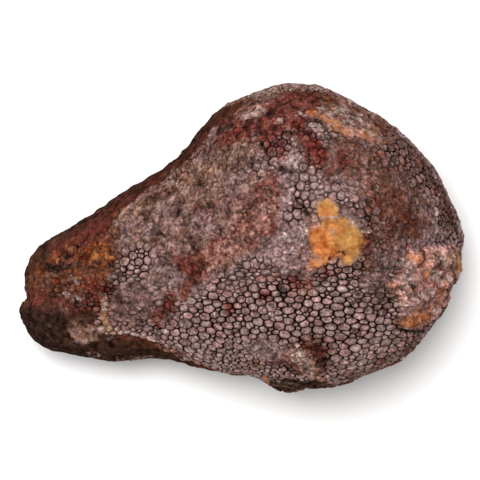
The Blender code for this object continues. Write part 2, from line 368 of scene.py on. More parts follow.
            (1.0, 0.5, (39.5, -4.5), (41.5, -5.3)), (0.41, 0.9, (38.3, -15.9), (38.9, -14.6)),
            (0.61, 0.9, (39.9, -4.5), (40.3, -5.3)), (0.61, 1.0, (35.6, -11.8), (36.8, -12.2)),
            (0.61, 0.8, (40.5, -8.1), (41.1, -9.4)), (0.51, 0.9, (37.0, -10.6), (37.6, -11.4)),
            (0.61, 0.7, (33.0, -5.3), (32.6, -9.4)), (0.49, 0.9, (38.1, -14.6), (38.5, -15.9)),
            (0.71, 0.7, (34.4, -13.6), (33.4, -14.6)), (0.61, 0.6, (42.1, -4.1), (42.7, -5.3)),
            (0.61, 0.45, (34.6, -8.9), (34.0, -11.4)),
        ),
        Layer.PINK: (
            (2.0, 0.6, (34.6, -7.3), (38.3, -4.9), (42.7, -4.9)),
            (2.0, 0.6, (34.6, -11.0), (38.7, -13.0)),
        ),
    },
    "the rusty narrow end": {
        Layer.BROWN: (
            (5.7, 1.0, (-40.7, -11.0), (-36.7, -7.7), (-29.5, -4.1)),
            (4.5, 1.0, (-40.7, -11.4), (-35.0, -11.0), (-30.6, -9.8)),
            (3.3, 0.9, (-28.5, -6.5), (-29.3, -13.0)),
        ),
        Layer.MAROON: (
            (2.2, 0.6, (-42.0, -13.4), (-37.1, -14.2), (-31.4, -13.8)),
            (2.2, 0.8, (-28.5, 2.5), (-32.2, -0.4), (-36.7, -3.2)),
            (2.0, 0.7, (-30.2, -9.8), (-29.7, -14.6)),
        ),
        Layer.RUST: (
            (2.4, 0.85, (-33.4, -2.8), (-28.9, -0.8), (-28.1, -5.3)),
            (1.8, 0.9, (-26.5, 2.1), (-25.5, 5.3)),
            (2.4, 0.65, (-36.7, -10.2), (-33.0, -9.4), (-29.3, -8.9)),
            (2.0, 0.5, (-40.3, -6.5), (-37.1, -3.7), (-33.0, -2.4)),
            (2.2, 1.0, (-31.8, -4.5), (-28.5, -2.8)), (1.8, 0.5, (-40.3, -9.8), (-38.7, -11.0)),
        ),
        Layer.OCHRE: (
            (1.6, 0.32, (-30.6, -3.2), (-27.7, -2.4)), (0.8, 0.6, (-30.6, -4.5), (-29.7, -4.3)),
            (0.8, 0.6, (-27.7, -4.1), (-26.7, -4.5)), (0.71, 0.45, (-37.9, -3.4), (-37.1, -5.3)),
            (0.71, 0.4, (-33.8, -6.9), (-33.4, -8.5)), (0.61, 0.4, (-35.9, -2.0), (-34.6, -2.8)),
        ),
        Layer.SOOT: (
            (1.1, 0.8, (-39.5, -6.1), (-37.9, -6.9), (-36.7, -6.1)),
            (0.61, 0.7, (-36.1, -3.7), (-35.4, -4.1)), (0.61, 0.55, (-32.2, -3.4), (-31.4, -5.3)),
            # painted shade along the narrow end's lower edge
            (2.9, 0.85, (-42.4, -16.7), (-37.1, -17.1)),
            (1.2, 0.9, (-45.2, -16.3), (-43.2, -19.9), (-38.7, -22.4)),
            (1.8, 0.45, (-37.1, -15.5), (-32.6, -16.7)),
            (1.6, 0.35, (-43.2, -7.3), (-41.1, -4.1), (-37.1, -0.8)),
            (0.33, 0.8, (-34.0, -12.6), (-33.8, -13.2)),
        ),
        Layer.PALE: (
            (0.8, 0.65, (-35.9, -11.8), (-34.2, -12.8)), (0.51, 0.7, (-33.4, -12.2), (-32.8, -12.8)),
            (0.61, 0.6, (-34.4, -8.3), (-33.8, -9.6)), (0.41, 0.5, (-27.5, -8.3), (-26.9, -9.1)),
            (0.39, 1.0, (-38.7, -17.9), (-38.5, -18.1)),
        ),
        Layer.TAN: ((0.8, 0.8, (-44.6, -14.8), (-44.4, -14.0)),),
        Layer.PINK: ((0.8, 0.6, (-37.1, -14.2), (-36.3, -15.5)),),
    },
    "the skin along the far side": {
        Layer.SKIN: (
            (2.4, 1.0, (-44.8, -13.0), (-44.8, -7.7), (-40.7, -3.2)),
            (3.1, 1.0, (-39.9, -3.2), (-35.0, 0.4), (-28.9, 4.1)),
            (2.0, 1.0, (-29.3, 4.5), (-26.5, 6.5), (-23.4, 8.2)), (1.8, 1.0, (-24.0, 8.0), (-22.8, 9.2)),
            (1.3, 1.0, (-22.8, 9.4), (-19.8, 11.4), (-16.3, 13.9), (-12.2, 17.3)),
            (1.8, 1.0, (-11.8, 17.7), (-9.8, 20.4)), (3.1, 1.0, (-9.0, 20.8), (-6.1, 23.6), (-2.5, 26.1)),
            (1.6, 0.7, (-2.1, 26.9), (0.8, 28.1)),
        ),
        Layer.MAROON: (
            (1.1, 0.55, (-24.9, 5.5), (-22.0, 8.4), (-16.7, 12.6)),
            (1.9, 0.55, (-7.1, 18.3), (-4.9, 20.2), (-1.7, 22.4)),
            (1.3, 0.55, (-28.9, 4.3), (-23.4, 8.4), (-18.8, 12.0), (-14.3, 15.1)),
            (2.4, 0.51, (-9.4, 18.3), (-6.1, 21.6), (-2.5, 24.0)),
        ),
        Layer.RUST: ((1.6, 0.55, (-35.9, -4.1), (-31.4, -1.6), (-27.3, 0.8)),),
        Layer.SOOT: (
            (1.8, 0.5, (-29.7, 3.7), (-24.9, 7.3)),
            (1.2, 0.48, (-24.0, 8.2), (-15.1, 14.7), (-9.4, 20.0), (-3.7, 24.9)),
            (0.8, 0.75, (-4.9, 21.2), (-2.1, 22.8)), (1.0, 0.4, (-10.0, 19.6), (-7.4, 23.2)),
            (1.0, 0.35, (-35.9, 0.8), (-31.0, 4.1)),
        ),
        Layer.PALE: (
            (0.61, 0.52, (-26.1, 2.5), (-24.0, 5.3), (-21.6, 7.3)),
            (0.61, 0.45, (-17.1, 11.0), (-14.7, 13.2)),
        ),
        Layer.TAN: ((1.8, 0.72, (-23.6, 3.3), (-19.6, 6.7), (-15.5, 9.8), (-10.6, 14.7)),),
    },
    "grooves partly filled": {
        Layer.FILLED: (
            (6.9, 0.74, (-40.1, -12.0), (-32.0, -7.9), (-28.9, -2.8)),
            (4.9, 1.0, (-5.5, 19.6), (1.6, 24.0), (9.8, 26.1), (17.9, 26.1), (26.4, 22.0)),
            (2.4, 0.9, (1.6, 28.1), (11.8, 29.1), (20.9, 27.3), (30.1, 20.6)),
            (6.9, 0.8, (19.9, 15.9), (29.1, 9.4), (35.2, 2.3)),
            (4.1, 1.0, (-11.4, -10.0), (-7.6, -5.3), (-1.4, -2.4), (4.0, 2.1), (6.1, 8.2), (6.9, 13.0)),
            (6.1, 0.55, (11.8, 15.5), (16.9, 9.4), (17.9, 4.3)),
            (4.5, 0.35, (11.8, -7.9), (20.9, -9.4), (26.4, -10.0)),
            (4.1, 0.72, (26.0, -1.2), (31.3, -1.6), (27.3, -8.1)),
            (2.4, 0.5, (27.3, -11.4), (26.4, -14.2)), (3.3, 0.5, (-3.5, -6.9), (4.7, -7.9)),
            (3.3, 0.5, (-22.8, -13.0), (-15.7, -16.1)), (2.9, 0.7, (12.8, 19.6), (14.8, 16.5)),
            (2.4, 0.5, (11.8, -10.0), (15.9, -9.4)),
        ),
    },
    "the skin under the near side of the narrow end": {
        Layer.SKIN: (
            (3.3, 1.0, (-42.4, -17.5), (-37.1, -19.5), (-31.0, -21.6)),
            (2.4, 1.0, (-43.6, -14.6), (-37.9, -16.3), (-32.2, -17.1)),
            (2.6, 1.0, (-31.0, -22.0), (-24.9, -22.8), (-18.8, -23.6)),
            (2.0, 1.0, (-18.8, -24.0), (-14.3, -25.2)),
            (1.4, 1.0, (-13.5, -25.6), (-6.5, -27.5), (-0.4, -29.7)),
            (1.4, 0.8, (-37.1, -17.5), (-32.0, -16.7)),
        ),
        Layer.SOOT: (
            # painted shade on the underside facet of the narrow end
            (2.4, 0.8, (-43.2, -19.1), (-39.1, -21.2), (-33.0, -23.6)),
            (1.2, 0.55, (-31.0, -24.4), (-20.8, -25.6), (-14.7, -26.5)),
        ),
        Layer.PALE: (
            (1.6, 0.34, (-33.6, -18.9), (-31.8, -20.3)), (0.61, 0.5, (-30.6, -18.7), (-24.9, -19.3)),
            (1.0, 0.55, (-28.3, -12.6), (-28.3, -16.3), (-27.3, -18.3)),
            (0.41, 0.75, (-25.3, -19.5), (-21.2, -20.3), (-17.1, -21.8)),
            (0.33, 0.5, (-17.1, -21.8), (-13.1, -23.4), (-8.6, -25.2)),
        ),
        Layer.TAN: (
            (1.8, 0.75, (-33.8, -18.7), (-31.8, -20.3)),
            (0.8, 1.0, (-31.4, -18.7), (-28.1, -19.1), (-24.5, -19.5)),
            (1.2, 0.9, (-28.1, -12.6), (-28.3, -16.3), (-27.3, -18.3)),
            (0.71, 0.6, (-15.7, -23.2), (-8.6, -25.6), (-1.4, -28.5)),
        ),
        Layer.LILAC: ((1.4, 0.5, (-33.4, -19.1), (-32.0, -20.5)),),
        Layer.STRAW: ((1.0, 0.5, (-28.5, -13.0), (-28.1, -16.7), (-27.3, -18.7)),),
        Layer.RUST: ((0.8, 0.4, (-23.2, -20.8), (-16.7, -22.4), (-10.6, -24.8)),),
        Layer.MAROON: ((0.51, 0.6, (-24.9, -20.3), (-18.8, -21.6), (-13.1, -24.0)),),
    },
    "the bleached cells at the lower right": {
        Layer.TAN: ((3.3, 0.38, (22.0, -27.7), (29.1, -23.6), (33.2, -21.2)),),
        Layer.PALE: ((3.3, 0.36, (22.4, -26.5), (26.4, -22.2), (33.0, -20.8)),),
    },
    "the stained patch at the lower edge": {
        Layer.WORN: (
            (2.4, 1.0, (3.6, -23.6), (8.7, -24.8), (11.8, -26.0)),
            (1.6, 0.9, (11.8, -24.4), (14.2, -27.7)), (1.8, 1.0, (10.6, -23.6), (12.6, -26.0)),
            (1.2, 0.8, (14.6, -22.2), (16.3, -25.6)),
        ),
        Layer.LILAC: ((2.0, 0.8, (2.0, -23.2), (6.7, -23.6)), (0.8, 0.7, (16.3, -27.7), (17.9, -28.5))),
        Layer.PALE: (
            (1.6, 0.45, (2.8, -23.2), (7.3, -24.0)),
            (1.8, 0.6, (11.0, -23.8), (12.6, -26.0), (13.8, -27.7)),
        ),
        Layer.TAN: (
            (2.0, 1.0, (10.6, -23.6), (12.6, -26.0), (14.6, -28.3)),
            (0.8, 0.9, (9.3, -23.0), (11.4, -23.2)), (1.0, 0.6, (1.2, -26.0), (4.0, -26.9)),
        ),
        Layer.MAROON: (
            (1.6, 0.65, (7.7, -25.6), (11.0, -26.9)), (1.3, 0.95, (14.6, -23.2), (16.7, -25.2)),
        ),
        Layer.SOOT: (
            (0.61, 0.7, (8.5, -26.9), (11.8, -28.5)), (1.4, 0.6, (15.5, -23.2), (16.7, -26.0)),
            # dark moss and painted shade on the steep lower edge
            (1.0, 0.7, (6.9, -30.5), (12.8, -30.9), (19.5, -30.5)),
        ),
        Layer.BROWN: (
            (1.9, 1.0, (14.6, -22.0), (16.3, -24.0), (16.7, -26.5)),
            # brown earth and painted shade on the steep lower edge
            (2.4, 1.0, (6.9, -30.5), (12.8, -30.9), (19.5, -30.5)),
            (0.79, 0.75, (14.2, -21.6), (13.0, -20.8)),
        ),
        Layer.RUST: ((0.66, 1.0, (15.2, -22.8), (15.7, -23.2)),),
        Layer.FILLED: ((1.8, 0.9, (6.9, -30.1), (12.8, -30.5), (19.5, -30.1)),),
        Layer.OCHRE: ((0.37, 0.9, (4.5, -28.5), (5.9, -29.9)),),
    },
    "shade and moss along the lower edge": {
        Layer.SOOT: (
            (1.8, 0.74, (6.9, -29.7), (11.8, -30.5), (20.9, -30.5)),
            (1.4, 0.9, (19.9, -30.5), (28.1, -28.3), (35.2, -23.8), (39.9, -18.3)),
            (1.0, 0.6, (0.0, -28.9), (4.0, -30.5)), (0.8, 0.4, (-12.6, -27.3), (-0.4, -30.1)),
        ),
        Layer.BROWN: ((2.6, 0.55, (20.9, -29.7), (28.5, -26.9), (35.0, -22.4)),),
    },
    # Brown earth and painted shade where the dome's rim turns away from the light.
    "the dark rim of the dome": {
        Layer.BROWN: ((2.1, 0.85, (29.1, 22.6), (36.2, 15.5), (40.3, 8.4), (42.3, 2.9)),),
        Layer.SOOT: ((0.8, 0.5, (29.1, 24.0), (37.2, 15.5), (41.5, 7.3), (43.5, 0.8)),),
    },
    "where the head is fuller or leaner than its plain form": {
        Layer.FULL: (
            (5.3, 0.6, (-44.0, -5.3), (-44.4, -9.8)),
            (4.1, 1.0, (-45.6, -15.5), (-44.4, -18.7), (-41.6, -21.6)),
            (2.9, 0.3, (-9.4, -26.5), (-4.1, -27.5)),
            (4.5, 0.5, (-42.0, -20.1), (-35.0, -23.2), (-26.9, -24.4)),
            (2.9, 0.5, (5.3, -30.1), (10.2, -30.9)), (3.3, 0.25, (40.3, 9.4), (42.7, 4.3), (43.5, 1.6)),
            (2.4, 0.5, (16.3, -30.9), (20.3, -30.5)),
        ),
        Layer.LEAN: (
            (1.2, 1.0, (-44.4, -12.4), (-43.2, -12.4)),
            (3.7, 0.4, (38.3, -19.1), (35.0, -22.4), (26.4, -28.1)),
            (4.5, 0.5, (-20.8, -25.6), (-13.7, -26.0)), (2.6, 0.9, (1.6, -28.9), (3.6, -29.7)),
            (5.1, 0.75, (13.8, 29.7), (17.9, 28.5)), (4.1, 0.9, (23.0, 26.5), (28.1, 23.2)),
            (3.7, 0.8, (0.8, 28.5), (4.0, 29.3)), (3.3, 0.5, (38.3, 14.5), (41.5, 9.4)),
            (4.1, 0.75, (-27.9, 6.1), (-22.8, 9.4), (-12.6, 16.3)),
        ),
    },
}
STROKES: tuple[Stroke, ...] = tuple(
    Stroke(layer, radius, strength, tuple(route))
    for feature in FEATURES.values()
    for layer, rows in feature.items()
    for radius, strength, *route in rows
)


def waves(points: np.ndarray, size_mm: float, seed: int, octaves: int = 2) -> np.ndarray:
    """Smooth noise, about -1 to 1, read at each point.

    Args:
        points: One row for each point, in millimetres.
        size_mm: Distance between neighbouring swells.
        seed: Picks an unrelated pattern.
        octaves: How many finer patterns are added.

    Returns:
        One value for each point.
    """
    fade, finer = 0.9, 2.1
    shift = Vector([seed * step for step in SEED_STEPS])
    rows = (Vector(p) / size_mm + shift for p in points)
    return np.array([noise.fractal(row, fade, finer, octaves) for row in rows])


def swell(points: np.ndarray, swells: tuple[Swell, ...], octaves: int = 2) -> np.ndarray:
    """Smooth noises added up at each point.

    Args:
        points: One row for each point, in millimetres.
        swells: The noises.
        octaves: How many finer patterns each has.

    Returns:
        One value for each point.
    """
    return sum(share * waves(points, size, seed, octaves) for share, size, seed in swells)


def drift(points: np.ndarray, size_mm: float, seed: int) -> np.ndarray:
    """A smooth random direction for each point, about -1 to 1 along each axis."""
    apart = 3  # from one axis's seed to the next
    return np.stack([waves(points, size_mm, seed + apart * n, octaves=1) for n in range(3)], axis=1)


def smooth_step(low: float, high: float, values: np.ndarray) -> np.ndarray:
    """0 below low, 1 above high and an S-curve between."""
    t = np.clip((values - low) / (high - low), 0.0, 1.0)
    return t * t * (3 - 2 * t)


class StrokeMap:
    """The strokes dropped onto the head, which tell how much of each layer lies at a point."""

    step_mm: float = 4.0  # a stroke is dropped onto the head at places this far apart
    full: float = 0.3  # where a stroke starts to fade, in radii
    none: float = 1.6  # where it ends
    stray: tuple[Swell, ...] = ((0.9, 3.6, 101), (0.5, 1.3, 102))  # push a stroke's edge about
    most_stray_mm: float = 1.8
    steady_stray_mm: float = 0.5  # for the layers that keep their shapes
    steady: tuple[Layer, ...] = (Layer.OCHRE, Layer.STRAW, Layer.CRUST, Layer.PALE, Layer.SOOT)
    flat: tuple[float, ...] = (1.0, 1.0, 0.4)  # a way down counts for less than one across
    tiny: float = 1e-9  # keeps a step of no length from dividing by zero

    def __init__(self, surface: BVHTree, strokes: tuple[Stroke, ...]) -> None:
        """Drops each stroke from the eye onto the surface.

        Args:
            surface: The head.
            strokes: What is painted on it.
        """
        self.dropped = [(stroke, self._drop(surface, stroke.route)) for stroke in strokes]

    def _drop(self, surface: BVHTree, route: tuple[Place, ...]) -> list[Vector]:
        """Where the eye's lines through a route on the sight plane meet the head.

        Args:
            surface: The head.
            route: Places on the sight plane.

        Returns:
            Points on the head, no more than a step apart along the route.
        """
        targets = [Vector((*route[0], SIGHT_PLANE_MM))]
        for place in route[1:]:
            start, end = targets[-1], Vector((*place, SIGHT_PLANE_MM))
            count = math.ceil((end - start).length / self.step_mm)
            targets += [start.lerp(end, (n + 1) / count) for n in range(count)]
        met = (surface.ray_cast(EYE_MM, target - EYE_MM)[0] for target in targets)
        return [place or surface.find_nearest(target)[0] for place, target in zip(met, targets)]

    def amounts(
        self, points: np.ndarray, layers: tuple[Layer, ...] = tuple(Layer)
    ) -> dict[Layer, np.ndarray]:
        """How much of each layer lies at each point, from 0 to 1.

        Args:
            points: One row for each point, in millimetres.
            layers: The layers wanted.

        Returns:
            One array for each layer.
        """
        stray = sum(share * drift(points, size, seed) for share, size, seed in self.stray)
        flat = np.array(self.flat)
        found = {layer: np.zeros(len(points)) for layer in layers}
        for stroke, places in self.dropped:
            if stroke.layer not in found:
                continue
            most = self.steady_stray_mm if stroke.layer in self.steady else self.most_stray_mm
            strayed = (points + stray * min(stroke.radius, most)) * flat
            near = np.full(len(points), np.inf)
            for start, end in zip(places, places[1:]):
                along = np.array(end - start) * flat
                spoke = strayed - np.array(start) * flat
                share = np.clip(spoke @ along / max(along @ along, self.tiny), 0.0, 1.0)
                near = np.minimum(near, np.linalg.norm(spoke - share[:, None] * along, axis=1))
            amount = stroke.strength * smooth_step(self.none, self.full, near / stroke.radius)
            found[stroke.layer] = np.maximum(found[stroke.layer], amount)
        return found


@dataclass
class CellNet:
    """The net of cells over the head: large ones side by side, with young ones budded between.

    It is laid over a head drawn out across on its near side, where the cells grew wider than tall.
    """

    pitch: float = 2.15  # millimetres between the middles of cells, where nothing changes it
    larger: float = 0.24  # shares added to the pitch
    smaller: float = -0.22
    underneath: float = 2.2
    underneath_heights: tuple[float, float] = (13.0, 6.5)  # where cells start to coarsen, and are coarse
    longest: float = 1.35  # an edge is cut or closed past these shares of the pitch
    shortest: float = 0.72
    rounds: int = 7
    smoothings: int = 2
    smoothing: float = 0.5  # how far a corner moves to the middle of its neighbours
    flip_margin: float = 1e-3  # in radians, so that an edge doesn't turn back and forth
    bud_share: float = 0.27
    buds_from: float = 10.0  # height
    grown_sizes: tuple[float, float] = (0.82, 1.15)
    bud_sizes: tuple[float, float] = (0.36, 0.68)
    settle_rounds: int = 8
    pushes: int = 3
    push: float = 0.6
    draw_out: float = 1.7
    draw_from: float = -6.0  # the near side starts here
    draw_to: float = -60.0
    seed: int = 7
    rng: random.Random = field(init=False)

    def __post_init__(self) -> None:
        """Starts the net's own random draws."""
        self.rng = random.Random(self.seed)

    def across(self, y: float, back: bool = False) -> float:
        """A distance across the head drawn out on the near side, or taken back.

        Args:
            y: The distance.
            back: Whether it is taken back.

        Returns:
            The new distance.
        """
        far_end = self.draw_from + (self.draw_to - self.draw_from) * self.draw_out
        real = (self.draw_to, self.draw_from, -self.draw_from, -self.draw_to)
        drawn = (far_end, *real[1:])
        return float(np.interp(y, drawn, real) if back else np.interp(y, real, drawn))

    def lay(self, bm: bmesh.types.BMesh, places: StrokeMap) -> None:
        """Turns the head's triangles into the net's cells.

        Args:
            bm: The head in millimetres.
            places: Where the cells are large or small.
        """
        for vert in bm.verts:
            vert.co.y = self.across(vert.co.y)
        surface = BVHTree.FromBMesh(bm)
        self._even_out(bm, surface, places)
        self._bud(bm)
        self._settle(bm, surface)
        self._wall_in(bm)
        for vert in bm.verts:
            vert.co.y = self.across(vert.co.y, back=True)

    def _space_out(self, bm: bmesh.types.BMesh, places: StrokeMap) -> None:
        """Stores the distance between the middles of full-grown cells at each corner.

        Args:
            bm: The drawn-out head.
            places: Where the cells are large or small.
        """
        room = bm.verts.layers.float.get("room") or bm.verts.layers.float.new("room")
        points = np.array([(v.co.x, self.across(v.co.y, back=True), v.co.z) for v in bm.verts])
        found = places.amounts(points, (Layer.LARGE, Layer.SMALL))
        under = smooth_step(*self.underneath_heights, points[:, 2])
        share = self.larger * found[Layer.LARGE] + self.smaller * found[Layer.SMALL]
        for vert, value in zip(bm.verts, self.pitch * (1 + share + self.underneath * under)):
            vert[room] = value

    def _even_out(self, bm: bmesh.types.BMesh, surface: BVHTree, places: StrokeMap) -> None:
        """Makes the triangles near-even, with one corner for each full-grown cell.

        Args:
            bm: The drawn-out head.
            surface: Its smooth shape, which the corners stay on.
            places: Where the cells are large or small.
        """
        for _ in range(self.rounds):
            self._space_out(bm, places)
            self._split_long(bm)
            self._close_short(bm)
            self._flip(bm)
            for _ in range(self.smoothings):
                bmesh.ops.smooth_vert(
                    bm, verts=list(bm.verts), factor=self.smoothing,
                    use_axis_x=True, use_axis_y=True, use_axis_z=True,
                )
                for vert in bm.verts:
                    vert.co = surface.find_nearest(vert.co)[0]
        self._space_out(bm, places)

    def _split_long(self, bm: bmesh.types.BMesh) -> None:
        """Cuts edges much longer than the spacing in two.

        Args:
            bm: The drawn-out head.
        """
        room = bm.verts.layers.float["room"]
        long = [e for e in bm.edges if e.calc_length() > self.longest * e.verts[0][room]]
        bmesh.ops.subdivide_edges(bm, edges=long, cuts=1)
        bmesh.ops.triangulate(bm, faces=[f for f in bm.faces if len(f.verts) > 3])

    def _close_short(self, bm: bmesh.types.BMesh) -> None:
        """Closes edges much shorter than the spacing, where that leaves the surface whole.

        Args:
            bm: The drawn-out head.
        """
        room = bm.verts.layers.float["room"]
        short, taken = [], set()
        for edge in sorted(bm.edges, key=lambda e: e.calc_length()):
            if edge.calc_length() > self.shortest * edge.verts[0][room]:
                continue
            rings = [{link.other_vert(v) for link in v.link_edges} for v in edge.verts]
            if len(rings[0] & rings[1]) != 2 or taken & set(edge.verts):
                continue
            short.append(edge)
            taken |= rings[0] | rings[1]
        bmesh.ops.collapse(bm, edges=short)

    def _flip(self, bm: bmesh.types.BMesh) -> None:
        """Turns each edge whose two triangles are better cut along their other diagonal.

        Args:
            bm: The drawn-out head.
        """
        for edge in list(bm.edges):
            facing = 0.0
            for face in edge.link_faces:
                tip = next(v for v in face.verts if v not in edge.verts)
                a, b = (v.co - tip.co for v in edge.verts)
                facing += a.angle(b, 0.0)
            if facing > math.pi + self.flip_margin:
                bmesh.utils.edge_rotate(edge, True)

    def _bud(self, bm: bmesh.types.BMesh) -> None:
        """Starts a young cell in the middle of some triangles, and notes each cell's radius.

        Args:
            bm: The drawn-out head.
        """
        size, room = bm.verts.layers.float.new("size"), bm.verts.layers.float["room"]
        for vert in bm.verts:
            vert[size] = self.rng.uniform(*self.grown_sizes) * vert[room] / 2
        open_faces = [f for f in bm.faces if f.calc_center_median().z > self.buds_from]
        self.rng.shuffle(open_faces)
        chosen, taken = [], set()
        for face in open_faces:
            if face not in taken and len(chosen) < self.bud_share * len(open_faces):
                chosen.append(face)
                taken |= {other for edge in face.edges for other in edge.link_faces}
        for vert in bmesh.ops.poke(bm, faces=chosen)["verts"]:
            vert[room] = vert.link_edges[0].other_vert(vert)[room]
            vert[size] = self.rng.uniform(*self.bud_sizes) * vert[room] / 2

    def _settle(self, bm: bmesh.types.BMesh, surface: BVHTree) -> None:
        """Lets the cells push each other until each has room for its own radius.

        Args:
            bm: The drawn-out head, one corner for each cell.
            surface: Its smooth shape, which the cells stay on.
        """
        size = bm.verts.layers.float["size"]
        for _ in range(self.settle_rounds):
            self._flip(bm)
            bm.verts.index_update()
            places = np.array([v.co[:] for v in bm.verts])
            sizes = np.array([v[size] for v in bm.verts])
            ends = np.array([[v.index for v in e.verts] for e in bm.edges])
            count = np.bincount(ends.ravel(), minlength=len(places))
            for _ in range(self.pushes):
                gap = places[ends[:, 1]] - places[ends[:, 0]]
                far = np.linalg.norm(gap, axis=1)
                pull = gap * (self.push * (1 - sizes[ends].sum(axis=1) / far))[:, None]
                move = np.zeros_like(places)
                np.add.at(move, ends[:, 0], pull)
                np.add.at(move, ends[:, 1], -pull)
                places += move / count[:, None]
                places = np.array([surface.find_nearest(Vector(p))[0][:] for p in places])
            for vert, place in zip(bm.verts, places):
                vert.co = place

    @staticmethod
    def _wall_in(bm: bmesh.types.BMesh) -> None:
        """Turns corners into cells: each triangle gets a middle, and each edge turns to join two.

        Args:
            bm: The drawn-out head, one corner for each cell.
        """
        size = bm.verts.layers.float["size"]
        seeds, sides = list(bm.verts), list(bm.edges)
        for middle in bmesh.ops.poke(bm, faces=list(bm.faces))["verts"]:
            around = [edge.other_vert(middle) for edge in middle.link_edges]
            weights = [1 / v[size] for v in around]
            middle.co = sum((v.co * w for v, w in zip(around, weights)), Vector()) / sum(weights)
        bmesh.ops.rotate_edges(bm, edges=sides, use_ccw=False)
        bmesh.ops.dissolve_verts(bm, verts=seeds)


@dataclass
class CellShape:
    """The rings of one cell, from the groove round it to its middle.

    Each ring's reach tells how far out it lies: 1 in the groove, 0 in the middle.
    """

    groove: float = 0.17  # half the groove's width, in millimetres
    least_rim: float = 0.3  # the rim's smallest share of the way out
    roundness: float = 0.8
    shoulder: float = 0.74  # ring inside the rim, as a share of it
    shortest_cut: float = 0.85  # walls shorter than this stay one edge
    nudge: float = 0.01  # an inset's first width, before its ring is placed
    rim_reach: float = 0.8
    shoulder_reach: float = 0.5

    def ring(self, bm: bmesh.types.BMesh) -> None:
        """Gives each cell a rounded rim, a shoulder and a middle, numbered and measured.

        Args:
            bm: The net, one face for each cell.
        """
        reach = bm.verts.layers.float.new("reach")
        owner = bm.verts.layers.int.new("owner")
        cuts = [e for e in bm.edges if e.calc_length() > self.shortest_cut]
        bmesh.ops.bisect_edges(bm, edges=cuts, cuts=1)
        for vert in bm.verts:
            vert[reach] = 1.0
            vert[owner] = -1
        cells = list(bm.faces)
        self._add_rim(bm, cells)
        self._add_shoulder(bm, cells)
        for vert in bmesh.ops.poke(bm, faces=cells)["verts"]:
            vert[reach] = 0.0
            vert[owner] = vert.link_edges[0].other_vert(vert)[owner]

    def _add_rim(self, bm: bmesh.types.BMesh, cells: list[bmesh.types.BMFace]) -> None:
        """Insets each cell by half a groove and rounds its corners.

        Args:
            bm: The net.
            cells: Its faces.
        """
        reach, owner = bm.verts.layers.float["reach"], bm.verts.layers.int["owner"]
        bmesh.ops.inset_individual(bm, faces=cells, thickness=self.nudge)
        for number, face in enumerate(cells):
            centre = face.calc_center_median()
            outer = []
            for vert in face.verts:
                edge = next(e for e in vert.link_edges if face not in e.link_faces)
                outer.append(edge.other_vert(vert).co - centre)
            middling = sum(spoke.length for spoke in outer) / len(outer)
            for vert, spoke in zip(face.verts, outer):
                far = spoke.length
                rounded = far * (1 - self.roundness) + min(far, middling) * self.roundness
                vert.co = centre + spoke * (max(rounded - self.groove, self.least_rim * far) / far)
                vert[reach] = self.rim_reach
                vert[owner] = number

    def _add_shoulder(self, bm: bmesh.types.BMesh, cells: list[bmesh.types.BMFace]) -> None:
        """Insets each cell once more, for a domed or hollow top.

        Args:
            bm: The net.
            cells: Its faces.
        """
        reach, owner = bm.verts.layers.float["reach"], bm.verts.layers.int["owner"]
        bmesh.ops.inset_individual(bm, faces=cells, thickness=self.nudge)
        for number, face in enumerate(cells):
            centre = face.calc_center_median()
            for vert in face.verts:
                vert.co = centre.lerp(vert.co, self.shoulder)
                vert[reach] = self.shoulder_reach
                vert[owner] = number


